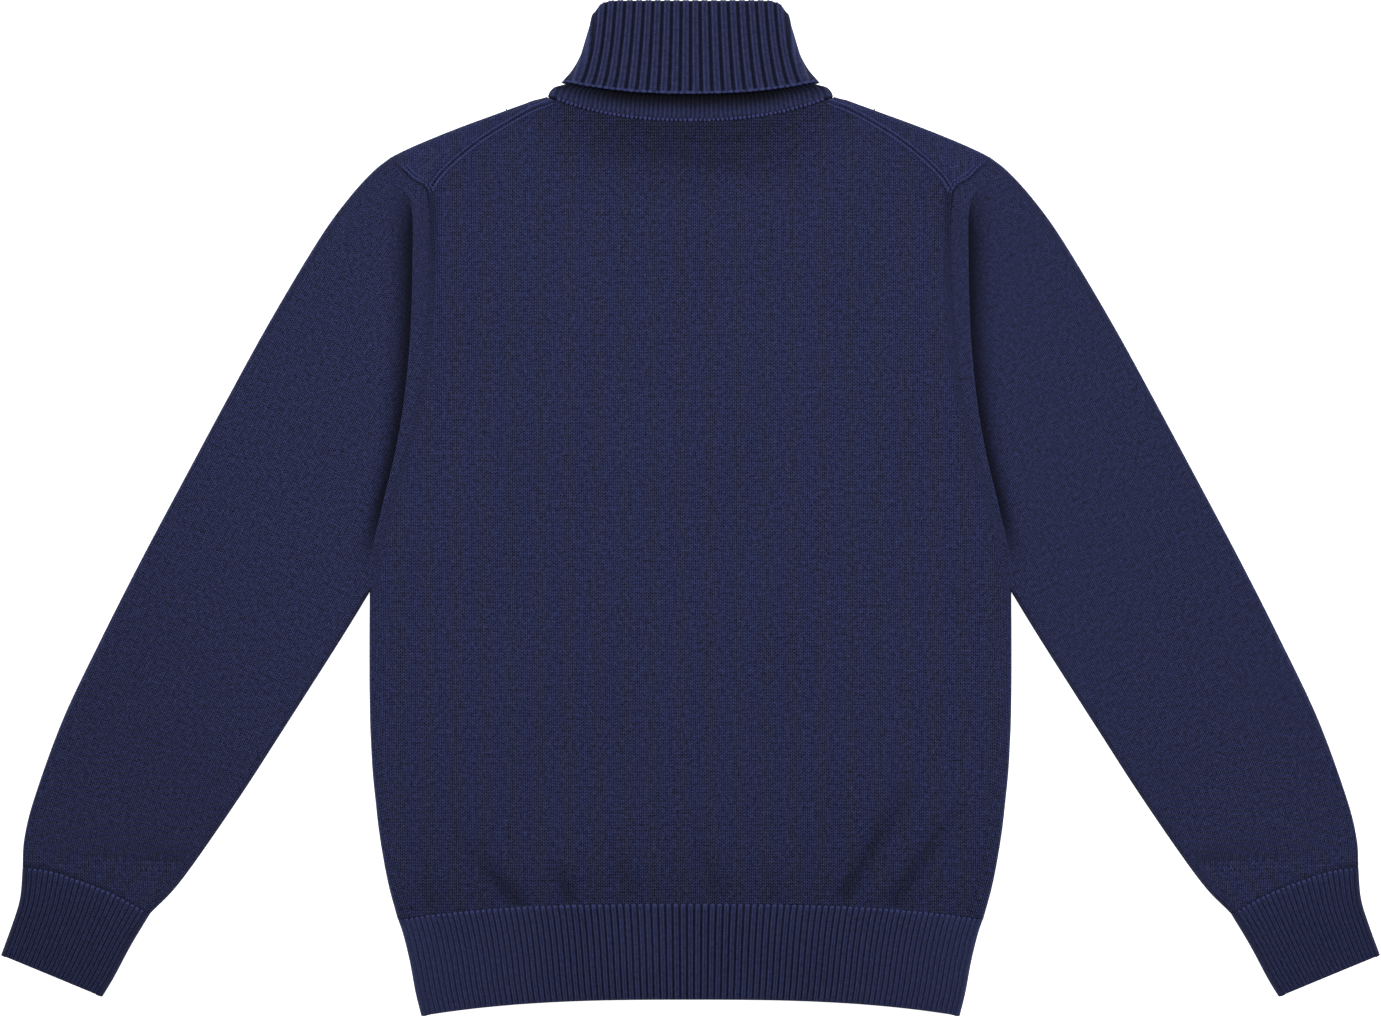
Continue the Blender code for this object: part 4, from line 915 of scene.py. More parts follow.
# ---------------------------------------------------------------- sleeves
@dataclass
class Sleeve:
    """A sleeve: a flattened tube, with a fold beside the armhole and soft creases.

    fold_out and fold_in are the section of that fold on its two faces, as
    (millimetres past the lip, millimetres below the top of the strip beside the seam).
    strip_shares are the rows of that strip, strip_end the share of the lip's distance where
    it ends, and past_lip how far the section goes on past the lip. A span is (start, run)
    of a soft step, in shares of the armhole. Past the fold the cloth climbs over
    crease_rise to top, less sag, with a puff and a dip by the cuff and slow waves.
    seam_turns are the lengths at the armhole and the cuff over which the side fold turns
    square to its edge.
    """

    upper_columns: int = 96
    lower_columns: int = 24
    fold_columns: int = 9
    far_rows: int = 120
    inset: float = 0.016
    fold_out: Pairs = (
        (-3.6, 0.0), (-2.2, 0.05), (-1.1, 0.25), (-0.3, 0.75), (0.0, 1.45), (-0.5, 2.1), (-1.5, 2.5),
        (-2.4, 2.85), (-2.6, 3.35), (-2.0, 3.7), (-0.4, 3.85), (1.6, 3.85), (4.0, 3.75),
    )
    fold_in: Pairs = (
        (-6.0, 2.4), (-5.7, 2.6), (-5.5, 2.9), (-5.3, 3.3), (-5.1, 3.8), (-5.0, 4.3), (-4.8, 4.8),
        (-4.5, 5.3), (-4.0, 5.7), (-3.2, 6.0), (-1.6, 6.2), (1.0, 6.25), (4.0, 6.15),
    )
    strip_shares: tuple[float, ...] = (0.0, 0.06, 0.14, 0.26, 0.4, 0.54)
    strip_end: float = 0.62
    strip_rise: float = 0.3
    past_lip: float = 4.0
    lip_start: float = 5.2
    lip_reach: float = 11.4
    lip_span: tuple[float, float] = (0.02, 0.1)
    lip_end_span: tuple[float, float] = (0.5, 0.45)
    fold_span: tuple[float, float] = (0.05, 0.13)
    fold_end_span: tuple[float, float] = (0.77, 0.2)
    fold_drop: float = 3.75
    crease_rise: float = 28.0
    top: float = 7.5
    sag: float = 0.5
    puff: float = 0.9
    cuff_dip: float = 0.7
    waves: float = 0.16
    join_run: float = 3.0
    seam_turns: tuple[float, float] = (14.0, 7.0)
    dark: float = 0.85
    dark_reach: float = 27.0
    pull: float = 0.2
    cut: Cut = Cut("sleeve_right", Slot.PLAIN, 0.36, 0.62, 0.17)

    def plan(self, a: Array, b: Array) -> Array:
        """Plan points: a from the outer edge to the inner one, b from the armhole."""

        def side(curve: Curve, end: float) -> Array:
            """Points of one side edge, moved apart from the pieces at its two ends."""
            shift = ARM.normal(end) * (1 - b[..., None]) - CUFF_SEAM.normal(end) * b[..., None]
            return curve.at(b) + SEAM * shift

        ends = np.array([ARM.at(0), ARM.at(1), CUFF_SEAM.at(0), CUFF_SEAM.at(1)])
        sides = side(SLEEVE_OUTER, 0), side(SLEEVE_INNER, 1)
        return coons(ARM.at(a), CUFF_SEAM.at(a), *sides, ends, a, b, hold=2)

    def lip(self, a: Array) -> Array:
        """How far from the armhole seam the fold's lip is."""
        return self.lip_start + self.lip_reach * ramp(a, self.lip_span) * (1 - ramp(a, self.lip_end_span))

    def fold_share(self, a: Array) -> Array:
        """How deep the fold is along the armhole, 1 at its deepest."""
        return ramp(a, self.fold_span) * (1 - ramp(a, self.fold_end_span))

    def level(self, a: Array, b: Array, distance: Array) -> Array:
        """Height of the outer face past the fold's lip.

        Args:
            a: shares along the armhole. b: shares of the sleeve's length.
            distance: millimetres from the armhole seam.
        """
        across = np.sin(math.pi * a)
        share = self.fold_share(a)
        p = self.plan(a, b)
        top = self.top - self.sag * across**2 * smooth_step(b / 0.4)
        # The cloth puffs out just above the cuff and dips into the cuff's seam.
        top = top + self.puff * across * bell(b - 0.94, 0.035)
        top = top - self.cuff_dip * across * bell(b - 1, 0.012)
        top = top + self.waves * across * soft_waves(p[..., 0], p[..., 1], 11, 90)
        low = armhole_top(a) + (self.strip_rise - self.fold_drop) * share
        past = distance - self.lip(a) - self.past_lip
        return low + (top - low) * smooth_step(past / self.crease_rise)

    def near_rows(self, a: Array, table: Pairs, cloth: float) -> tuple[Array, Array]:
        """Distance from the seam, and height, of the rows from the seam past the fold.

        Args:
            a: shares along the armhole, one for each column.
            table: the fold's section on this face.
            cloth: how far this face lies below the outer one where there is no fold.
        """
        lip, share = self.lip(a), self.fold_share(a)
        top = armhole_top(a) + self.strip_rise * share
        first = np.outer(self.strip_shares, lip * self.strip_end)
        to_end = 1 - np.array(self.strip_shares)[:, None] / self.strip_shares[-1]
        heights = top + (armhole_top(a) - top) * to_end - cloth
        rest = np.outer(np.linspace(0.08, 1, len(table)), lip * (1 - self.strip_end) + self.past_lip)
        folded = np.array([np.maximum(lip + past, 0) for past, _ in table])
        # Without a fold the two faces follow each other; with one they follow the table.
        distance = (lip * self.strip_end + rest) * (1 - share) + folded * share
        distance = np.maximum(distance, (first[-1] + 0.05) * (1 - share))
        drops = np.array([drop for _, drop in table])[:, None] * share + cloth * (1 - share)
        return np.vstack([first * (1 - 0.3 * share), distance]), np.vstack([heights, top - drops])

    def grid(self, a: Array, table: Pairs, cloth: float) -> Array:
        """One face of the upper layer.

        Args:
            a: the columns, in shares along the armhole.
            table: the fold's section on this face.
            cloth: how far this face lies below the outer one.
        """
        near, near_z = self.near_rows(a, table, cloth)
        length = np.linalg.norm(self.plan(a, a * 0 + 0.5) - self.plan(a, a * 0), axis=-1) * 2
        b_near = near / length
        far = (np.linspace(0, 1, self.far_rows) ** 1.15)[1:, None]
        b = np.vstack([b_near, b_near[-1] + (1 - b_near[-1]) * far])
        columns = np.broadcast_to(a, b.shape)
        distance = b * length
        z = self.level(columns, b, distance) - cloth
        count = len(near_z)
        join = smooth_step((distance[count:] - distance[count - 1]) / self.join_run)
        z[:count] = near_z
        z[count:] = near_z[-1] * (1 - join) + z[count:] * join
        return np.dstack([self.plan(columns, b), z])

    def side_fold(self, edge: Array, beside: Array, radius: float, sign: int) -> Array:
        """Points round a side of the tube, from its top to its underside.

        Args:
            edge: the side's outermost points. beside: points a little way in from them.
            radius: radius of this face. sign: turns the row's direction inwards.
        """
        edge, beside = edge[:, :2], beside[:, :2]
        ahead = np.gradient(edge, axis=0)
        square = unit(np.stack([-ahead[:, 1], ahead[:, 0]], -1)) * sign
        run = np.cumsum(np.linalg.norm(np.diff(edge, axis=0, prepend=edge[:1]), axis=1))
        ends = [np.maximum(1 - d / reach, 0) for d, reach in zip((run, run[-1] - run), self.seam_turns)]
        near_seam = sum(ends)[:, None]
        inward = unit(unit(beside - edge) * near_seam + square * (1 - near_seam))
        return half_fold(edge, inward, radius, self.fold_columns)[:, 1:-1]

    def wall(self, low_dark: float) -> Wall:
        """The sleeve's wall for the +X side, with painted shade that darkens its lower end by the share
        given.
        """
        short = round(self.upper_columns * 0.14)
        first = np.linspace(self.inset, ARM_CORNER, short, endpoint=False)
        a = np.append(first, np.linspace(ARM_CORNER, 1 - self.inset, self.upper_columns - short))
        low_a = np.linspace(1 - self.inset * 1.4, self.inset * 1.4, self.lower_columns)
        side_a = np.array([0.0, 0.03, 0.97, 1.0])  # each side, and a place a little way in from it
        faces = []
        for table, cloth, radius in ((self.fold_out, 0.0, FOLD), (self.fold_in, CLOTH, FOLD - CLOTH)):
            upper, edges, lower = (self.grid(columns, table, cloth) for columns in (a, side_a, low_a))
            lower[..., 2] = cloth
            inner_side = self.side_fold(edges[:, 3], edges[:, 2], radius, 1)
            outer_side = self.side_fold(edges[:, 0], edges[:, 1], radius, -1)[:, ::-1]
            faces.append(np.concatenate([upper, inner_side, lower, outer_side], axis=1))
        outer, inner = faces
        shade = np.ones(outer.shape[:2])
        shade[:, : self.upper_columns] = self.shade(a, outer)
        shade[:, self.upper_columns : self.upper_columns + self.fold_columns // 2] = 1 - EDGE_DARK
        down = np.linspace(0, 1, len(shade))[:, None]
        shade = shade * (1 - low_dark * ramp(down, (0.45, 0.5)))
        return Wall(outer, inner, self.knit_places(outer), shade, self.pull, True, **self.edge_places(outer))

    def shade(self, a: Array, outer: Array) -> Array:
        """Share of light left in the fold beside the armhole, over the upper layer."""
        upper = outer[:, : self.upper_columns]
        seam = ARM.at(a) + SEAM * ARM.normal(a)
        past = np.linalg.norm(upper[..., :2] - seam, axis=-1) - self.lip(a)
        hidden = np.arange(len(upper))[:, None] > len(self.strip_shares) + 5
        deep = np.where(hidden, 1 - smooth_step((past - 1.0) / self.dark_reach) ** 0.7, 0)
        top = 1 - smooth_step((a - ARM_CORNER - 0.02) / 0.06)
        seam = (0.12 + 0.75 * top) * bell(past + self.lip(a), 1.2)
        return (1 - self.dark * deep * self.fold_share(a)) * (1 - seam)

    def knit_places(self, grid: Array) -> Array:
        """Knit places measured from the outer fold, below zero on the lower layer."""
        across, along = near_curve(grid[..., :2], SLEEVE_OUTER)
        lower = np.arange(grid.shape[1]) >= self.upper_columns + self.fold_columns - 2
        across = np.where(lower[None, :], -across, across)
        places = np.dstack([across, along])
        return np.concatenate([places, places[:, :1]], axis=1)

    def edge_places(self, grid: Array) -> dict:
        """Knit places measured from the underarm fold, and the cells that use them."""
        across, along = near_curve(grid[..., :2], SLEEVE_INNER)
        places = np.dstack([across + KNIT_APART / 2, along])
        columns = np.arange(grid.shape[1])
        middle = self.upper_columns + (self.fold_columns - 2) / 2
        near = (across < 3 * WALE) & (np.abs(columns - middle)[None] < 14)
        return {
            "edge_knit": np.concatenate([places, places[:, :1]], axis=1),
            "edge_cells": near[:-1] & near[1:],
        }

    def build(self, side: int, material: bpy.types.Material) -> bpy.types.Object:
        """Makes the sleeve of one side, 1 for +X, and puts it in its node's place."""
        name, cut = f"sleeve_tube_{SIDES[side]}", replace(self.cut, node=f"sleeve_{SIDES[side]}")
        return dress(name, self.wall(LOW_DARK[side]).mesh(name, side), material, cut)


def near_curve(p: Array, curve: Curve) -> tuple[Array, Array]:
    """Distance of plan points from a curve, and how far along it they are."""
    flat = p.reshape(-1, 2)
    best, along = np.full(len(flat), np.inf), np.zeros(len(flat))
    last = len(curve.points) - 2
    for k, (start, end, run) in enumerate(zip(curve.points[:-1], curve.points[1:], curve.run[:-1])):
        step = end - start
        # The first and last steps go on past the curve's ends.
        t = np.clip(((flat - start) @ step) / (step @ step), 0 if k else -np.inf, 1 if k < last else np.inf)
        far = np.linalg.norm(flat - start - t[:, None] * step, axis=1)
        closer = far < best
        best[closer] = far[closer]
        along[closer] = run + t[closer] * np.linalg.norm(step)
    return best.reshape(p.shape[:-1]), along.reshape(p.shape[:-1])


# ---------------------------------------------------------------- ribbed pieces
@dataclass(frozen=True)
class Rib:
    """The section of one rib: two columns of stitches raised over a groove."""

    section: Pairs = (
        (0.0, 0.0), (0.13, 0.03), (0.21, 0.45), (0.26, 0.93), (0.32, 1.0), (0.41, 0.72),
        (0.5, 0.45), (0.59, 0.72), (0.68, 1.0), (0.74, 0.93), (0.79, 0.45), (0.87, 0.03),
    )

    def columns(self, count: int) -> tuple[Array, Array]:
        """Places of the columns over count ribs, in ribs, and their heights from 0 to 1."""
        at, height = np.array(self.section).T
        places = (np.arange(count)[:, None] + at).ravel()
        return np.append(places, count), np.append(np.tile(height, count), 0.0)


def rounded(d: Array, radius: float) -> Array:
    """How far a face drops near an edge, d from it, so that the edge is round."""
    t = 1 - np.clip(np.asarray(d) / radius, 0, 1)
    return radius * (1 - np.sqrt(1 - t**2))


def rim_rows(length: float, count: int) -> Array:
    """Shares of length from edge to edge, closer together at both rims."""
    rim = RIM_RADIUS * (1 - np.cos(np.linspace(0, math.pi / 2, 5))) / length
    inner = np.linspace(rim[-1], 1 - rim[-1], count)
    return np.concatenate([rim[:-1], inner, 1 - rim[-2::-1]])


def half_fold(edge: Array, inward: Array, radius: float, steps: int = 9) -> Array:
    """Points round a tube's side, from its top to its underside, for rows of edge points."""
    angles = np.linspace(0, math.pi, steps)
    across = FOLD - radius * np.sin(angles)
    p = edge[:, None] + inward[:, None] * across[None, :, None]
    z = np.broadcast_to(FOLD + radius * np.cos(angles), p.shape[:2])
    return np.dstack([p, z])


@dataclass
class Cuff:
    """A ribbed cuff: a flattened tube, ribbed on top.

    valley is the height of the grooves between ribs, rows and the columns the grid, and
    rib_fade how far from its edges a rib reaches its full height.
    """

    ribs: int = 23
    rib: Rib = field(default_factory=Rib)
    rib_height: float = 0.9
    rib_fade: float = 2.2
    groove_dark: float = 0.27
    valley: float = 6.6
    rows: int = 22
    inner_columns: int = 30
    lower_columns: int = 20
    cut: Cut = Cut("cuff_right", Slot.RIB, 0.24, 0.085, 0.0195)

    def plan(self, a: Array, b: Array) -> Array:
        """Plan points: a from the outer edge to the inner one, b from the sleeve down."""
        shift = [SEAM * CUFF_SEAM.normal(k) for k in (0, 1)]
        fade = (1 - b)[..., None]
        sides = CUFF_OUTER.at(b) + shift[0] * fade, CUFF_INNER.at(b) + shift[1] * fade
        ends = np.array([CUFF_SEAM.at(0), CUFF_SEAM.at(1), CUFF_END.at(0), CUFF_END.at(1)])
        return coons(CUFF_SEAM.at(a), CUFF_END.at(a), *sides, ends, a, b)

    def wall(self, low_dark: float) -> Wall:
        """The cuff's wall for the +X side, with painted shade that darkens it by the share given."""
        b = rim_rows(CUFF_OUTER.length, self.rows)
        width = np.linalg.norm(self.plan(b * 0 + 1, b) - self.plan(b * 0, b), axis=-1)
        margin = (FOLD / width)[:, None]
        places, crest = (k[1:-1] for k in self.rib.columns(self.ribs))
        edge_d = (np.minimum(b, 1 - b) * CUFF_OUTER.length)[:, None]
        drop = rounded(edge_d, RIM_RADIUS)
        ribbed = self.valley + self.rib_height * crest * smooth_step(edge_d / self.rib_fade) - drop
        plain_share = np.linspace(0.03, 0.97, self.inner_columns)
        plain = self.valley - CLOTH + drop * 0.8 + 0 * plain_share
        under = self.plan(*np.broadcast_arrays(np.linspace(0.9, 0.1, self.lower_columns)[None], b[:, None]))
        faces = []
        for share, z, radius, low in (
            (places / self.ribs, ribbed, FOLD, 0.0), (plain_share, plain, FOLD - CLOTH, CLOTH),
        ):
            a = margin + (1 - 2 * margin) * share
            turns = []
            for end in (1, 0):
                edge = self.plan(b * 0 + end, b)
                inward = unit(self.plan(b * 0 + abs(end - 0.03), b) - edge)
                turns.append(half_fold(edge, inward, radius))
            faces.append(np.concatenate([
                np.dstack([self.plan(a, np.broadcast_to(b[:, None], a.shape)), z]), turns[0],
                np.dstack([under, np.full(under.shape[:2], low)]), turns[1][:, ::-1],
            ], axis=1))
        outer, inner = faces
        spare = outer.shape[1] - len(places)
        across = np.concatenate([places, self.ribs * (1 + np.arange(1, spare + 2) / spare)]) * 2 * WALE
        knit = np.dstack(np.broadcast_arrays(across[None], (b * CUFF_OUTER.length)[:, None]))
        # Painted shade: on the rolled sides, in the grooves between ribs, and at the lower rim.
        shade = np.full(outer.shape[1], 1 - EDGE_DARK)
        shade[: len(places)] = 1 - self.groove_dark * (1 - crest)
        rim = (1 - low_dark) * (1 - EDGE_DARK * bell((1 - b) * CUFF_OUTER.length, 0.9))
        return Wall(outer, inner, knit, shade[None] * rim[:, None], closed=True)

    def loop_places(self, at: float, below: float) -> Array:
        """Plan places of the loops that join the +X cuff to its sleeve.

        Args:
            at: place of the loop in each rib. below: distance from the seam.
        """
        width = float(np.linalg.norm(CUFF_SEAM.at(1) - CUFF_SEAM.at(0)))
        a = FOLD / width + (1 - 2 * FOLD / width) * (np.arange(self.ribs) + at) / self.ribs
        return self.plan(a, a * 0 + below / CUFF_OUTER.length)

    def build(self, side: int, material: bpy.types.Material) -> bpy.types.Object:
        """Makes the cuff of one side, 1 for +X, and puts it in its node's place."""
        name, cut = f"cuff_tube_{SIDES[side]}", replace(self.cut, node=f"cuff_{SIDES[side]}")
        return dress(name, self.wall(LOW_DARK[side]).mesh(name, side), material, cut)


@dataclass
class HemRib:
    """The rib at the lower edge: a ribbed back strip and a plain front one.

    gather is how much wider the ribs are in the middle than at the sides, side_fade how
    much lower they are there, by the power side_power, and uneven how much they vary.
    valley is the height of the grooves, and edge_low how far the strip's own edges lie
    below the top of the body's side fold. billow is the height of its slow waves.
    """

    ribs: int = 93
    gather: float = 0.166
    rib: Rib = field(default_factory=Rib)
    rib_height: float = 1.3
    rib_fade: float = 2.4
    uneven: float = 0.1
    billow: float = 0.25
    groove_dark: float = 0.6
    side_fade: float = 0.5
    side_power: float = 1.6
    valley: float = 6.5
    edge_low: float = 0.4
    rows: int = 22
    plain_columns: int = 80
    roll_steps: int = 6
    back_cut: Cut = Cut("hem_rib_back", Slot.RIB, 0.442, 0.086, 0.0318, ("hem_front",))
    front_cut: Cut = Cut("hem_rib_front", Slot.RIB, 0.442, 0.086, 0.0318)

    def plan(self, a: Array, b: Array) -> Array:
        """Plan points: a from -X to +X, b from the lower edge up."""
        x_low, x_high = (2 * a - 1) * HEM_HALF, (2 * a - 1) * RIB_TOP_HALF
        low, high = np.stack([x_low, hem_up(x_low)], -1), np.stack([x_high, rib_top_up(x_high)], -1)
        side = HEM_SIDE.at(b) - SEAM * 2 * b[..., None] * (0, 1)
        bottom, top = np.array([HEM_HALF, 0]), np.array([RIB_TOP_HALF, RIB_TOP_SIDE])
        ends = np.array([mirrored(bottom), bottom, mirrored(top), top])
        return coons(low, high, mirrored(side), side, ends, a, b)

    def spaced(self, r: Array) -> Array:
        """Shares across of ribs r, from -1 to 1: wider in the middle than at the sides."""
        g, plain = self.gather, 1 - self.gather
        return np.sign(r) * (np.sqrt(plain**2 + 4 * g * np.abs(r)) - plain) / (2 * g)

    def strip(self, upper: bool) -> Wall:
        """One strip's wall: the ribbed upper one, or the plain one below."""
        b = rim_rows(HEM_SIDE.length, self.rows)
        edge_d = (np.minimum(b, 1 - b) * HEM_SIDE.length)[:, None]
        drop = rounded(edge_d, RIM_RADIUS)
        places, crest = (k[1:-1] for k in self.rib.columns(self.ribs))
        from_middle = 2 * places / self.ribs - 1
        margin = FOLD / (2 * HEM_HALF)
        angles = np.linspace(0, math.pi / 2, self.roll_steps + 1)
        faces = []
        for radius, cloth in ((FOLD, 0.0), (FOLD - CLOTH, -CLOTH if upper else CLOTH)):
            ribbed = upper and not cloth
            share = np.linspace(0, 1, self.plain_columns + 2)[1:-1]
            if ribbed:
                share = (self.spaced(from_middle) + 1) / 2
            a = margin + (1 - 2 * margin) * share
            spots = self.plan(*np.broadcast_arrays(a[None], b[:, None]))
            z = np.full(spots.shape[:2], (self.valley if upper else 0.0) + cloth)
            if ribbed:
                x, up = spots[..., 0], spots[..., 1]
                wave = 1 + self.uneven * soft_waves(x, up, 21, 60)
                wave = wave * (1 - self.side_fade * (np.abs(x) / HEM_HALF) ** self.side_power)
                z = z + self.rib_height * crest * smooth_step(edge_d / self.rib_fade) * wave - drop
                z = z + self.billow * soft_waves(x, up, 23, 80) * smooth_step(edge_d / 12)
            elif upper:
                z = z + drop * 0.7
            flat = (FOLD_HEIGHT - self.edge_low if upper else 0.0) + cloth
            meet = FOLD + (SEAM if upper else -SEAM)
            in_by = FOLD - radius * np.sin(angles)
            turns = []
            for side in (0, 1):
                edge = self.plan(b * 0 + side, b)
                inward = unit(self.plan(b * 0 + 0.5, b) - edge)
                p = edge[:, None] + inward[:, None] * in_by[None, :, None]
                height = np.broadcast_to(flat + (meet - flat) * (1 - np.cos(angles)), p.shape[:2])
                turns.append(np.dstack([p, height]))
            faces.append(np.concatenate([turns[0][:, ::-1], np.dstack([spots, z]), turns[1]], axis=1))
        outer, inner = faces
        side_columns = len(angles)
        across = (places if upper else np.linspace(0, self.ribs, self.plain_columns)) * 2 * WALE
        beside = WALE / 2 * np.arange(1, side_columns + 1)
        across = np.concatenate([across[0] - beside[::-1], across, across[-1] + beside])
        knit = np.dstack(np.broadcast_arrays(across[None], b[:, None] * HEM_SIDE.length))
        # Painted shade: on the rolled ends and the lower rim, and in the grooves between ribs.
        shade = np.full(outer.shape[1], 1 - 0.5 * EDGE_DARK)
        if upper:
            fade = 1 - self.side_fade * np.abs(from_middle) ** self.side_power
            shade[side_columns:-side_columns] = 1 - self.groove_dark * fade * (1 - crest) ** 1.4
        rim = 1 - 0.5 * EDGE_DARK * bell(b * HEM_SIDE.length, 0.9)
        return Wall(outer, inner, knit, shade[None] * rim[:, None])

    def build(self, material: bpy.types.Material) -> tuple[bpy.types.Object, bpy.types.Object]:
        """Makes both strips, the front one first, and puts them in their nodes' places."""
        front = dress("hem_front", self.strip(False).mesh("hem_front"), material, self.front_cut)
        back = dress("hem_back", self.strip(True).mesh("hem_back"), material, self.back_cut)
        return front, back

    def loop_places(self, at: float, below: float) -> Array:
        """Plan places of the loops that join the rib to the body.

        Args:
            at: place of the loop in each rib. below: distance from the seam.
        """
        r = (np.arange(self.ribs) + at) * 2 / self.ribs - 1
        margin = FOLD / (2 * HEM_HALF)
        a = margin + (1 - 2 * margin) * (self.spaced(r) + 1) / 2
        return self.plan(a, a * 0 + 1 - below / HEM_SIDE.length)


# ---------------------------------------------------------------- collar
@dataclass(frozen=True)
class Ring:
    """One section of the collar, placed by the line midway between its layers.

    half is that line's half width; side, back and front its height in plan at the side,
    behind and in front, joined by a curve of power bow; low and high its height above
    the surface; turn the degrees round the top fold; rib and band the share of the
    ribs' height outside, and of the finer ribs on the band beside the neck seam.
    """

    half: float
    side: float
    back: float
    front: float
    bow: float
    low: float
    high: float
    turn: float
    rib: float
    band: float = 0.0


COLLAR_RINGS = (
    Ring(NECK_HALF, NECK_SIDE + 0.2, NECK_BACK + 0.2, NECK_FRONT + 0.2, NECK_BOW, -0.25, 8.45, 0, 0, 0.2),
    Ring(105.6, 692.9, 674.9, 640.0, 2.3, -0.25, 9.0, 0, 0, 1),
    Ring(101.2, 696.9, 687.6, 672.0, 2.3, 2.0, 10.2, 0, 0, 1),
    Ring(91.2, 699.8, 692.5, 679.0, 2.3, 2.85, 10.4, 0, 0, 1),
    Ring(84.8, 709.0, 708.0, 696.0, 2.3, 2.85, 10.95, 0, 0),
    Ring(78.3, 724.0, 733.0, 722.0, 4.0, 2.85, 10.95, 0, 0.05),
    Ring(72.6, 743.5, 757.2, 741.0, 16.0, 2.85, 10.95, 0, 0.1),
    Ring(71.9, 747.5, 758.2, 742.0, 18.0, 2.85, 10.95, 60, 0.2),
    Ring(71.9, 747.5, 758.2, 742.0, 18.0, 2.85, 10.95, 120, 0.5),
    Ring(72.6, 743.5, 757.2, 741.0, 16.0, 2.85, 10.95, 180, 0.9),
    Ring(78.3, 724.0, 733.0, 728.0, 4.0, 2.85, 11.2, 180, 1),
    Ring(86.0, 709.0, 708.0, 707.0, 2.3, 2.85, 12.6, 180, 1),
    Ring(92.3, 701.4, 693.2, 699.2, 2.3, 2.85, 14.5, 180, 1),
    Ring(94.0, 699.2, 690.1, 697.0, 2.3, 2.85, 14.9, 180, 0.8),
)


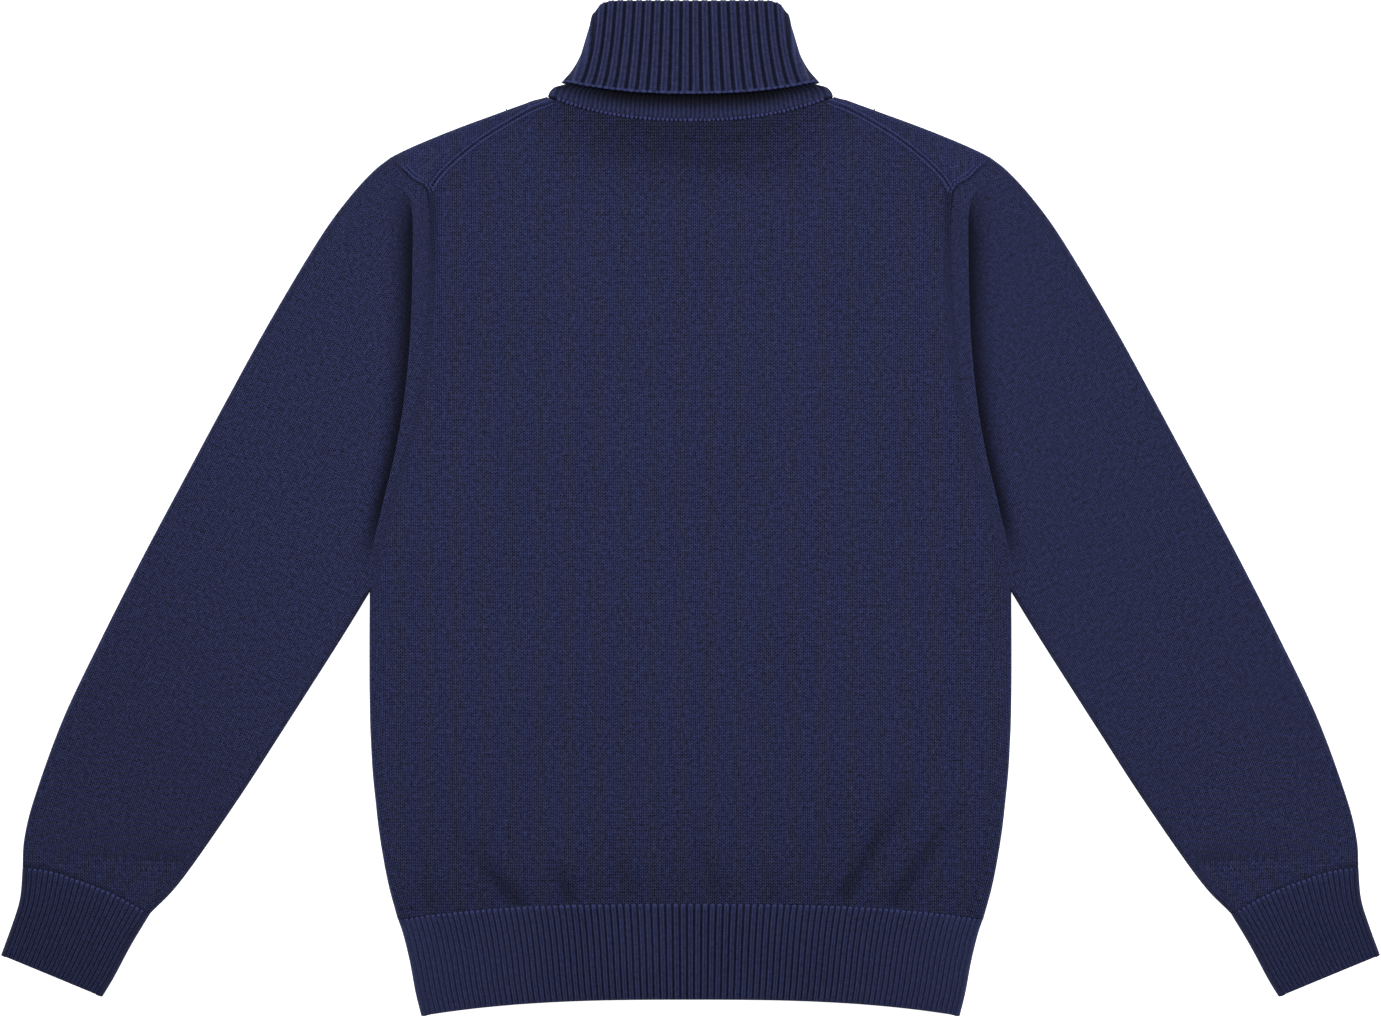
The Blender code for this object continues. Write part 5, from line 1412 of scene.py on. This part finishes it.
@dataclass
class Collar:
    """The folded collar: one tube, up from the neck seam and down again outside.

    gap is the space between its two layers and lean how far its two open edges are moved
    up. A rib is pitch_wide at a ring of half width pitch_at, and pitch_more wider for each
    millimetre more. Past knee ribs from the centre back the ribs share what is left. The
    band beside the neck seam has its own finer ribs, band_lines of them on each rib.
    """

    rings: tuple[Ring, ...] = COLLAR_RINGS
    ribs: int = 44
    rib: Rib = field(default_factory=Rib)
    rib_height: float = 1.6
    groove_dark: float = 0.72
    cloth: float = 2.6
    gap: float = 0.5
    lean: float = 0.5
    pitch_wide: float = 6.9
    pitch_at: float = 70.2
    pitch_more: float = 0.052
    knee: float = 10.0
    fine_ribs: int = 26
    inner_columns: int = 660
    band_depth: float = 0.8
    band_dark: float = 0.95
    band_lines: float = 2.5
    band_line_dark: float = 0.5
    welt: float = 2.6
    finer_by: int = 5
    cut: Cut = Cut("collar", Slot.RIB, 0.40, 0.19, 0.062)

    def pitch(self, ring: Ring) -> float:
        """Width of one rib on the back at a ring."""
        return self.pitch_wide + self.pitch_more * (ring.half - self.pitch_at)

    def columns(self) -> tuple[Array, Array]:
        """Places of the lengthwise lines in ribs from the centre back, and their heights."""
        at, height = np.array(self.rib.section).T
        made = []
        for k in range(-self.ribs // 2, self.ribs // 2):
            step = 1 if abs(k + 0.5) < self.fine_ribs / 2 else 3
            made += [(k + at[j], height[j]) for j in range(0, len(at), step)]
        return tuple(np.array(made).T)

    def spoke(self, ring: Ring, r: Array) -> tuple[Array, Array, Array]:
        """Across place, and way out (across, up from the surface), of ribs r at a ring."""
        radius = (ring.high - ring.low) / 2
        straight = ring.half - radius
        whole = 2 * straight + math.pi * radius
        near = np.minimum(np.abs(r), self.knee) * self.pitch(ring)
        past = np.maximum(np.abs(r) - self.knee, 0) / (self.ribs / 2 - self.knee)
        s = near + (whole - self.knee * self.pitch(ring)) * past
        angle = np.clip((s - straight) / radius, 0, math.pi)
        x = np.where(s < straight, s, np.where(s > straight + math.pi * radius, whole - s, straight))
        x = x + radius * np.sin(angle) * (angle < math.pi)
        sign = np.sign(r) + (r == 0)
        return x * sign, np.sin(angle) * sign, np.cos(angle)

    def ring_points(self, ring: Ring, r: Array, offset: Array, lean: float = 0.0) -> Array:
        """Points of ribs r at a ring, offset from its middle line.

        Args:
            ring: the ring.
            r: places in ribs from the centre back.
            offset: distance from the middle line, one for each r.
            lean: how far an open edge is moved up.
        """
        x, out, above = self.spoke(ring, r)
        middle = ring.front + (ring.back - ring.front) * (1 + above) / 2
        radius = (ring.high - ring.low) / 2
        z = (ring.high + ring.low) / 2 + radius * above
        up = ring.side + (middle - ring.side) * (1 - np.minimum(np.abs(x) / ring.half, 1) ** ring.bow)
        turn = math.radians(ring.turn)
        over = -math.cos(turn) * offset
        return np.stack([x + out * over, up + math.sin(turn) * offset + lean, z + above * over], -1)

    def wall(self) -> Wall:
        """The collar's wall."""
        r, crest = self.columns()
        plain_r = np.linspace(-self.ribs / 2, self.ribs / 2, self.inner_columns + 1)[:-1]
        lines = 0.5 * np.cos(2 * math.pi * plain_r * self.band_lines)
        outer, inner = [], []
        for k, ring in enumerate(self.rings):
            lean = self.lean if k in (0, len(self.rings) - 1) else 0
            above = self.spoke(ring, r)[2]
            raised = ring.rib * self.rib_height * crest * smooth_step((above - 0.05) / 0.8)
            outer.append(self.ring_points(ring, r, self.gap / 2 + self.cloth + raised, lean))
            raised = self.band_depth * ring.band * (0.5 - lines)
            inner.append(self.ring_points(ring, plain_r, self.gap / 2 - raised, lean))
        outer, inner = (finer(np.array(face), self.finer_by) for face in (outer, inner))
        run = np.linalg.norm(np.diff(outer, axis=0), axis=-1)[:, np.abs(r) < 6].mean(1)
        run = np.concatenate([[0], np.cumsum(run)])
        across = np.append(r, self.ribs / 2) * 2 * WALE
        knit = np.dstack(np.broadcast_arrays(across[None], run[:, None]))
        # Painted shade: in the grooves between ribs, less of it near the rim, and on the band under the rim
        # and in its fine grooves.
        shade = 1 - self.groove_dark * (1 - crest) * smooth_step((run[-1] - run) / self.welt)[:, None]
        hidden = self.under_rim(inner) * (1 - self.band_line_dark * (0.5 + lines))
        return Wall(outer, inner, knit, shade, closed=True, inner_shade=hidden)

    def under_rim(self, inner: Array) -> Array:
        """Share of light left on the band, which the folded layer's rim hangs over."""
        rim = self.rings[-1]
        from_middle, low = np.abs(inner[..., 0]), inner[0, :, 1]
        reach = 1 - np.minimum(from_middle / rim.half, 1) ** rim.bow
        rim_up = rim.side + (rim.back - rim.side) * reach
        up = (inner[..., 1] - low) / np.maximum(rim_up - low, 1.0)
        middle = 1 - 0.35 * smooth_step((from_middle - 50) / 50)
        return (1 - self.band_dark * middle * smooth_step((up - 0.2) / 0.66)) * (1 - 0.85 * bell(up, 0.11))

    def build(self, material: bpy.types.Material) -> bpy.types.Object:
        """Makes the collar and puts it in its node's place."""
        return dress("collar_tube", self.wall().mesh("collar_tube"), material, self.cut)


# ---------------------------------------------------------------- finishes
def linear(code: str) -> tuple[float, float, float, float]:
    """An sRGB hex colour as the linear one that shaders take."""
    parts = [int(code[k : k + 2], 16) / 255 for k in (1, 3, 5)]
    curve = [c / 12.92 if c <= 0.04045 else ((c + 0.055) / 1.055) ** 2.4 for c in parts]
    return (*curve, 1.0)


def feed(tree: bpy.types.NodeTree, node: bpy.types.Node, links: dict) -> bpy.types.Node:
    """Links or sets a node's inputs, by name or number: a socket is linked, a value set."""
    for name, value in links.items():
        if isinstance(value, bpy.types.NodeSocket):
            tree.links.new(value, node.inputs[name])
        else:
            node.inputs[name].default_value = value
    return node


def add(tree: bpy.types.NodeTree, kind: str, links: dict | None = None, **settings) -> bpy.types.Node:
    """Adds a node.

    Args:
        tree: where to. kind: the node's type.
        links: what its inputs take, as for feed. settings: its attributes.

    Returns:
        The node.
    """
    node = tree.nodes.new(kind)
    for name, value in settings.items():
        setattr(node, name, value)
    return feed(tree, node, links or {})


def new_finish(name: str) -> tuple[bpy.types.Material, bpy.types.NodeTree, bpy.types.Node]:
    """A new material, its nodes and its shader."""
    material = bpy.data.materials.new(name)
    material.use_nodes = True
    return material, material.node_tree, material.node_tree.nodes["Principled BSDF"]


def coat(
    tree: bpy.types.NodeTree, shader: bpy.types.Node, yarn: str, light: bpy.types.NodeSocket,
    bump: bpy.types.Node,
) -> None:
    """Gives a shader the look of wool: matt, with no gloss and the soft sheen of its fuzz.

    Args:
        tree: the material's nodes. shader: its shader.
        yarn: the yarn's colour. light: the share of light that reaches it.
        bump: its relief.
    """
    colour = add(tree, "ShaderNodeVectorMath", {0: linear(yarn)[:3], "Scale": light}, operation="SCALE")
    feed(tree, shader, {
        "Base Color": colour.outputs[0], "Normal": bump.outputs["Normal"], "Roughness": 0.92,
        "Specular IOR Level": 0.15, "Sheen Weight": 0.2, "Sheen Roughness": 0.5,
        "Sheen Tint": linear("#7c86b8"),
    })


@dataclass(frozen=True)
class Knit:
    """Fine wool in columns of V-shaped stitches, dark navy, matt with a soft fuzz.

    The yarn scatters light softly at grazing angles, so there is sheen and no gloss.
    wale, course, stitch_depth and the sways are in millimetres. A name that ends in scale
    is a noise's waves per metre: the columns wander over about 18 mm, the fibres are
    about 1 mm long, and the blotches 3 mm wide. groove is how much painted shade darkens
    the gaps between the legs of the stitches, ladder and pulled how much more painted shade
    goes there where the cloth is pulled sideways, and mottle how uneven the wool's tone is.
    """

    name: str
    yarn: str = "#3b4170"
    stitch_depth: float = 0.9
    groove: float = 1.05
    pulled: float = 0.5
    ladder: float = 0.55
    wale: float = WALE
    course: float = COURSE
    mottle: float = 0.9
    sway_across: float = 0.9
    sway_along: float = 1.2
    sway_scale: float = 55.0
    fuzz_scale: float = 900.0
    blotch_scale: float = 330.0

    def make(self) -> bpy.types.Material:
        """The finish as a material."""
        material, tree, shader = new_finish(self.name)

        def calc(operation: str, *values) -> bpy.types.NodeSocket:
            """The result of a sum on sockets or numbers."""
            return add(tree, "ShaderNodeMath", dict(enumerate(values)), operation=operation).outputs[0]

        def noise(scale: float, detail: float, **more) -> bpy.types.Node:
            """Noise over the knit places."""
            links = {"Vector": place, "Scale": scale, "Detail": detail, **more}
            return add(tree, "ShaderNodeTexNoise", links)

        place = add(tree, "ShaderNodeUVMap", uv_map="knit").outputs["UV"]
        parts = add(tree, "ShaderNodeSeparateXYZ", {"Vector": place})
        sway = add(tree, "ShaderNodeSeparateXYZ", {"Vector": noise(self.sway_scale, 2.0).outputs["Color"]})
        u = calc("MULTIPLY_ADD", sway.outputs["X"], self.sway_across * MM, parts.outputs["X"])
        v = calc("MULTIPLY_ADD", sway.outputs["Y"], self.sway_along * MM, parts.outputs["Y"])
        # A stitch is two legs that lean together: leg goes from 0 in its middle to 1 at its
        # sides, and row from 0 to 1 along one leg.
        column = calc("FRACT", calc("DIVIDE", u, self.wale * MM))
        leg = calc("ABSOLUTE", calc("MULTIPLY_ADD", column, 2.0, -1.0))
        leg_height = calc("POWER", calc("SINE", calc("MULTIPLY", leg, math.pi)), 0.6)
        row = calc("FRACT", calc("SUBTRACT", calc("DIVIDE", v, self.course * MM), calc("MULTIPLY", leg, 0.9)))
        loop = calc("MULTIPLY_ADD", calc("SINE", calc("MULTIPLY", row, math.pi)), 0.65, 0.35)
        height = calc("MULTIPLY", leg_height, loop)
        fuzz = noise(self.fuzz_scale, 3.0, Roughness=0.65).outputs["Fac"]
        blotch = noise(self.blotch_scale, 3.0).outputs["Fac"]
        relief = calc("MULTIPLY_ADD", fuzz, 0.5, height)
        bump = add(tree, "ShaderNodeBump", {"Height": relief, "Distance": self.stitch_depth * MM})
        tone = add(tree, "ShaderNodeAttribute", attribute_name="tone").outputs["Color"]
        tone = add(tree, "ShaderNodeSeparateColor", {"Color": tone}).outputs
        # Painted shade: gap darkens the low parts of each stitch, as if the legs beside them shaded them, and
        # the tone's red, the painted shade of folds, seams and grooves, scales the colour.
        depth = calc("MULTIPLY_ADD", tone["Green"], self.pulled, self.groove)
        # Where the cloth is pulled sideways its columns part, and the gap between two gets painted shade.
        parted = calc("MULTIPLY", calc("MULTIPLY", calc("POWER", leg, 4.0), tone["Green"]), self.ladder)
        gap = calc("MULTIPLY_ADD", calc("SUBTRACT", 1.0, height), depth, parted)
        grain = calc("MULTIPLY_ADD", calc("SUBTRACT", fuzz, 0.5), self.mottle * 2, 1.0)
        cloud = calc("MULTIPLY_ADD", calc("SUBTRACT", blotch, 0.5), self.mottle * 1.25, grain)
        light = calc("MULTIPLY", calc("SUBTRACT", cloud, gap), tone["Red"])
        coat(tree, shader, self.yarn, light, bump)
        return material


@dataclass(frozen=True)
class Yarn:
    """The same wool as a single smooth loop of yarn, matt and fuzzy.

    light scales its colour, as painted light: a lone loop is painted brighter than the cloth round it, since
    nothing shades its sides, and a dark copy is painted shadow.
    fibre is the width of the fuzz and relief its height, in millimetres.
    """

    name: str
    yarn: str = "#373d6b"
    light: float = 0.85
    fibre: float = 0.4
    relief: float = 0.2

    def make(self) -> bpy.types.Material:
        """The finish as a material."""
        material, tree, shader = new_finish(self.name)
        place = add(tree, "ShaderNodeTexCoord").outputs["Object"]
        fuzz = {"Vector": place, "Scale": 1 / (self.fibre * MM), "Detail": 2.0}
        fuzz = add(tree, "ShaderNodeTexNoise", fuzz).outputs["Fac"]
        tone = {0: fuzz, 1: 0.5 * self.light, 2: 0.75 * self.light}
        tone = add(tree, "ShaderNodeMath", tone, operation="MULTIPLY_ADD")
        bump = add(tree, "ShaderNodeBump", {"Height": fuzz, "Distance": self.relief * MM})
        coat(tree, shader, self.yarn, tone.outputs[0], bump)
        return material


def light_table(name: str = "floor_white") -> bpy.types.Material:
    """A white floor lit from within, so that no shadow falls on it."""
    material, tree, shader = new_finish(name)
    feed(tree, shader, {
        "Base Color": linear("#f4f4f4"), "Roughness": 0.9, "Specular IOR Level": 0.0,
        "Emission Color": (1.0, 1.0, 1.0, 1.0), "Emission Strength": 0.95,
    })
    return material


# ---------------------------------------------------------------- seams
@dataclass(frozen=True)
class Loop:
    """One loop of yarn in a seam, in millimetres.

    length is along the seam, width across it, rise its height and sunk how deep it lies.
    """

    length: float
    width: float
    rise: float
    sunk: float


class Surface:
    """The top of the cloth, read by rays that start above it."""

    above: float = 50.0

    def __init__(self, pieces: list[bpy.types.Object]) -> None:
        """Makes one search tree for each piece of cloth."""
        graph = bpy.context.evaluated_depsgraph_get()
        self.trees = [BVHTree.FromObject(piece, graph) for piece in pieces]

    def heights(self, places: Array) -> Array:
        """Heights of the cloth at plan places, in millimetres."""
        made, down = [], mathutils.Vector((0, 0, -1))
        for x, up in places:
            start = mathutils.Vector((x * MM, (up - LENGTH / 2) * MM, self.above * MM))
            hits = [tree.ray_cast(start, down)[0] for tree in self.trees]
            made.append(max((hit.z / MM for hit in hits if hit), default=0.0))
        return np.array(made)


@dataclass
class Stitches:
    """Loops of yarn set on the cloth along its seams, by Geometry Nodes."""

    finish: bpy.types.Material
    surface: Surface
    uneven: float = 0.12
    seed: int = 7
    segments: int = 10
    rings: int = 6

    def tree(self) -> bpy.types.NodeTree:
        """The nodes: one rounded loop on each point, turned by the point's own angle."""
        tree = bpy.data.node_groups.new("yarn_loops", "GeometryNodeTree")
        tree.interface.new_socket("Geometry", in_out="INPUT", socket_type="NodeSocketGeometry")
        for name in ("Length", "Width", "Rise", "Uneven"):
            tree.interface.new_socket(name, in_out="INPUT", socket_type="NodeSocketFloat")
        tree.interface.new_socket("Geometry", in_out="OUTPUT", socket_type="NodeSocketGeometry")
        start, end = add(tree, "NodeGroupInput").outputs, add(tree, "NodeGroupOutput")
        ball = {"Segments": self.segments, "Rings": self.rings, "Radius": 0.5}
        ball = add(tree, "GeometryNodeMeshUVSphere", ball).outputs["Mesh"]
        turn = add(tree, "GeometryNodeInputNamedAttribute", {"Name": "turn"}, data_type="FLOAT")
        way = add(tree, "ShaderNodeCombineXYZ", {"Z": turn.outputs["Attribute"]}).outputs[0]
        size = {"X": start["Length"], "Y": start["Width"], "Z": start["Rise"]}
        size = add(tree, "ShaderNodeCombineXYZ", size).outputs[0]
        least, most = (
            add(tree, "ShaderNodeMath", {0: 1.0, 1: start["Uneven"]}, operation=operation).outputs[0]
            for operation in ("SUBTRACT", "ADD")
        )
        vary = {2: least, 3: most, "Seed": self.seed}
        vary = add(tree, "FunctionNodeRandomValue", vary, data_type="FLOAT").outputs[1]
        scaled = add(tree, "ShaderNodeVectorMath", {0: size, "Scale": vary}, operation="SCALE").outputs[0]
        links = {"Points": start["Geometry"], "Instance": ball, "Rotation": way, "Scale": scaled}
        placed = add(tree, "GeometryNodeInstanceOnPoints", links).outputs["Instances"]
        real = add(tree, "GeometryNodeRealizeInstances", {"Geometry": placed}).outputs["Geometry"]
        smooth = add(tree, "GeometryNodeSetShadeSmooth", {"Geometry": real}).outputs["Geometry"]
        links = {"Geometry": smooth, "Material": self.finish}
        feed(tree, end, {"Geometry": add(tree, "GeometryNodeSetMaterial", links).outputs["Geometry"]})
        return tree

    def build(self, name: str, slot: Slot, places: Array, turns: Array, loop: Loop) -> bpy.types.Object:
        """Makes one piece of loops.

        Args:
            name: the piece's name. slot: not used.
            places: plan places of the loops, in millimetres; those off the cloth are left out.
            turns: their angles in plan.
            loop: the size of one.

        Returns:
            The piece, a plain mesh.
        """
        cloth = self.surface.heights(places)
        on_top = cloth > FOLD
        places, turns = places[on_top], turns[on_top]
        z = cloth[on_top] + loop.rise / 2 - loop.sunk
        spots = np.column_stack([places[:, 0], places[:, 1] - LENGTH / 2, z]) * MM
        mesh = bpy.data.meshes.new(name)
        mesh.from_pydata(spots.tolist(), [], [])
        mesh.attributes.new("turn", "FLOAT", "POINT").data.foreach_set("value", turns.astype(np.float32))
        piece = put(name, mesh)
        modifier = piece.modifiers.new("loops", "NODES")
        modifier.node_group = self.tree()
        sizes = {
            "Length": loop.length * MM, "Width": loop.width * MM, "Rise": loop.rise * MM,
            "Uneven": self.uneven,
        }
        for item in modifier.node_group.interface.items_tree:
            if item.name in sizes:
                modifier[item.identifier] = sizes[item.name]
        made = bpy.data.meshes.new_from_object(piece.evaluated_get(bpy.context.evaluated_depsgraph_get()))
        piece.modifiers.clear()
        piece.data = made
        made.name = name
        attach(piece, "root")
        LOG.info("%s: %d loops, %d faces", name, len(places), len(made.polygons))
        return piece


@dataclass(frozen=True)
class Chain:
    """A chain of loops beside a line: how far off it they lie, and how far apart.

    start and end are the shares of the line between which the chain runs.
    """

    off: float
    pitch: float
    start: float = 0.0
    end: float = 1.0

    def along(self, curve: Curve, twist: float = 0.0) -> tuple[Array, Array]:
        """Plan places and angles of the loops beside a curve, on both halves of the garment.

        Args:
            curve: the line. twist: how far each loop is turned from the line's direction.
        """
        count = max(int(curve.length * (self.end - self.start) / self.pitch), 2)
        share = np.linspace(self.start, self.end, count)
        normal = curve.normal(share)
        spots = curve.at(share) + normal * self.off
        turns = np.arctan2(-normal[:, 0], normal[:, 1]) + twist
        return np.vstack([spots, mirrored(spots)]), np.concatenate([turns, math.pi - turns])


def joined(parts: list[tuple[Array, Array]]) -> tuple[Array, Array]:
    """The places and angles of several chains as one."""
    return np.vstack([places for places, _ in parts]), np.concatenate([turns for _, turns in parts])


@dataclass(frozen=True)
class Join:
    """Loops where ribs meet plain cloth, one to each rib, raised or sunk.

    what names them, at is the loop's place in the rib, and below its distance from the seam.
    Sunk loops take the dark yarn: painted shadow in the gaps between the ribs' ends.
    """

    what: str
    at: float
    below: float
    loop: Loop
    sunk: bool


NECK_LINE = Curve(*[(x, float(neck_up(np.array(x), NECK_BACK))) for x in np.linspace(0, 99, 23)])
SEAM_CHAINS = (
    (SHOULDER, Chain(1.7, 2.3, 0.03, 0.96)),
    (SHOULDER, Chain(-1.7, 2.3, 0.03, 0.96)),
    (ARM, Chain(-1.7, 2.3, 0.03, 0.115)),
    (ARM, Chain(-4.5, 2.3, 0.04, 0.11)),
)
NECK_CHAIN = Chain(1.3, 3.2, 0.008, 1.0)
RIM = COLLAR_RINGS[-1]
RIM_LINE = Curve(*[
    (x, RIM.back + (RIM.side - RIM.back) * (x / RIM.half) ** RIM.bow)
    for x in np.linspace(0, RIM.half - 1, 23)
])
RIM_CHAIN = Chain(1.1, 4.3, 0.02, 0.98)  # one loop on each column of stitches of the collar's ribs
# Where stitches were moved sideways to shape the shoulder: a chain on each side of its
# seam, and how far each mark is turned from the seam's direction. Each mark is a loop of
# dark yarn, painted shadow of the small pit that the moved stitches leave.
MARKS = ((Chain(8.2, 8.4, 0.06, 0.92), 1.9), (Chain(-8.2, 8.4, 0.06, 0.92), 1.2))
SHOULDER_LOOP = Loop(2.5, 1.5, 1.1, 0.35)
NECK_LOOP = Loop(2.6, 2.4, 1.2, 0.5)
RIM_LOOP = Loop(4.0, 2.2, 1.3, 0.6)
MARK_LOOP = Loop(3.4, 1.0, 0.5, 0.35)
JOINS = (
    Join("loops", 0.5, 1.5, Loop(2.4, 2.8, 1.2, 0.6), False),
    Join("gaps", 0.0, 1.2, Loop(2.4, 1.3, 0.7, 0.45), True),
)


# ---------------------------------------------------------------- studio
@dataclass
class Studio:
    """White floor, two long soft lights at the sides, one overhead, and the camera.

    Sizes are in metres, and side_lights are (side, place along Y). The camera looks
    straight down, from where the picture's width fits at the height garment_top.
    """

    picture_width: float = 1.03575
    lens: float = 85.0
    sensor: float = 36.0
    garment_top: float = 0.006
    floor_half: float = 3.0
    floor_drop: float = 0.0002
    side_lights: tuple[tuple[int, float], ...] = ((-1, 0.75), (1, 0.35))
    side_power: float = 150.0
    top_power: float = 8.5
    fill: float = 0.06

    def lamp(self, name: str, place: tuple, target: tuple, size: tuple, power: float) -> None:
        """A soft rectangular light.

        Args:
            name: its name. place: where it is. target: the point that it faces.
            size: its width and length. power: its watts.
        """
        data = bpy.data.lights.new(name, "AREA")
        data.shape = "RECTANGLE"
        data.size, data.size_y = size
        data.energy = power
        lamp = put(name, data)
        lamp.location = place
        way = mathutils.Vector(target) - mathutils.Vector(place)
        lamp.rotation_euler = way.to_track_quat("-Z", "Y").to_euler()

    def floor(self) -> bpy.types.Object:
        """The floor, which lies just below the cloth."""
        mesh = bpy.data.meshes.new("floor")
        r = self.floor_half
        mesh.from_pydata([(-r, -r, 0), (r, -r, 0), (r, r, 0), (-r, r, 0)], [], [(0, 1, 2, 3)])
        mesh.materials.append(light_table())
        floor = put("floor", mesh)
        floor.location.z = -self.floor_drop
        return floor

    def build(self) -> bpy.types.Object:
        """Makes the floor, the lights and the camera, and returns the floor."""
        floor = self.floor()
        for side, along in self.side_lights:
            self.lamp(f"side_{side}", (side * 4.0, along, 1.6), (0, 0.1, 0), (1.4, 3.2), self.side_power)
        self.lamp("overhead", (0, 0.45, 1.3), (0, 0.15, 0), (0.6, 0.6), self.top_power)
        scene = bpy.context.scene
        scene.world = bpy.data.worlds.new("studio")
        scene.world.use_nodes = True
        sky = scene.world.node_tree
        feed(sky, sky.nodes["Background"], {"Color": (1, 1, 1, 1), "Strength": self.fill})
        data = bpy.data.cameras.new("camera")
        data.lens, data.sensor_width = self.lens, self.sensor
        scene.camera = put("camera", data)
        scene.camera.location = (0, 0, self.garment_top + self.picture_width * self.lens / self.sensor)
        scene.view_settings.view_transform = "Standard"
        scene.cycles.use_denoising = True
        return floor


def sew(cloth: dict[str, bpy.types.Object], cuff: Cuff, hem: HemRib) -> dict[str, list[bpy.types.Object]]:
    """Sets the loops of the seams on the cloth.

    Args:
        cloth: the pieces of cloth by name.
        cuff: the cuff, which says where its loops are. hem: the same for the hem rib.

    Returns:
        The pieces of loops for each piece of cloth that they are sewn on.
    """
    surface = Surface(list(cloth.values()))
    light = Stitches(Yarn("wool_yarn", light=1.0).make(), surface)
    # Dark loops are painted shadow: in the gaps between the ribs' ends and in the shaping marks.
    dark = Stitches(Yarn("wool_yarn_painted_shadow", light=0.3).make(), surface)
    seams = joined([chain.along(curve) for curve, chain in SEAM_CHAINS])
    seams = light.build("shoulder_loops", Slot.PLAIN, *seams, SHOULDER_LOOP)
    neck = light.build("neck_loops", Slot.RIB, *NECK_CHAIN.along(NECK_LINE, math.pi / 2), NECK_LOOP)
    welt = light.build("collar_edge_loops", Slot.RIB, *RIM_CHAIN.along(RIM_LINE), RIM_LOOP)
    marks = joined([chain.along(SHOULDER, twist) for chain, twist in MARKS])
    marks = dark.build("shaping_marks", Slot.PLAIN, *marks, MARK_LOOP)
    sewn = {"back_panel": [seams, marks], "collar_tube": [neck, welt]}
    way = CUFF_SEAM.normal(0.5)
    ribs = [("hem", "hem_back", hem, 1, math.pi / 2)]
    for side, which in SIDES.items():
        ribs.append((f"cuff_{which}", f"cuff_tube_{which}", cuff, side, math.atan2(way[1], way[0] * side)))
    for name, on, rib, side, turn in ribs:
        sewn[on] = []
        for join in JOINS:
            places = mirrored(rib.loop_places(join.at, join.below), side)
            turns = np.full(len(places), turn)
            stitches = dark if join.sunk else light
            sewn[on].append(stitches.build(f"{name}_{join.what}", Slot.RIB, places, turns, join.loop))
    return sewn


def main() -> None:
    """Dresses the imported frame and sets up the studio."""
    logging.basicConfig(level=logging.INFO, format="%(message)s")
    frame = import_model()
    LOG.info("nodes in the frame: %s", sorted(frame["nodes"]))
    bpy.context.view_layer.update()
    plain = Knit("plain_wool").make()
    rib = Knit("rib_wool", yarn="#343a62", stitch_depth=0.4, groove=0.4, ladder=0.0).make()
    front, back, sleeve, cuff, hem, collar = FrontPanel(), BackPanel(), Sleeve(), Cuff(), HemRib(), Collar()
    made = [(front.build(plain, back), front.cut)]
    for side in SIDES:
        made += [(sleeve.build(side, plain), sleeve.cut), (cuff.build(side, rib), cuff.cut)]
    made += zip(hem.build(rib), (hem.front_cut, hem.back_cut))
    made += [(collar.build(rib), collar.cut), (back.build(plain), back.cut)]
    sewn = sew({piece.name: piece for piece, _ in made}, cuff, hem)
    Studio().build()


if __name__ == "__main__":
    main()
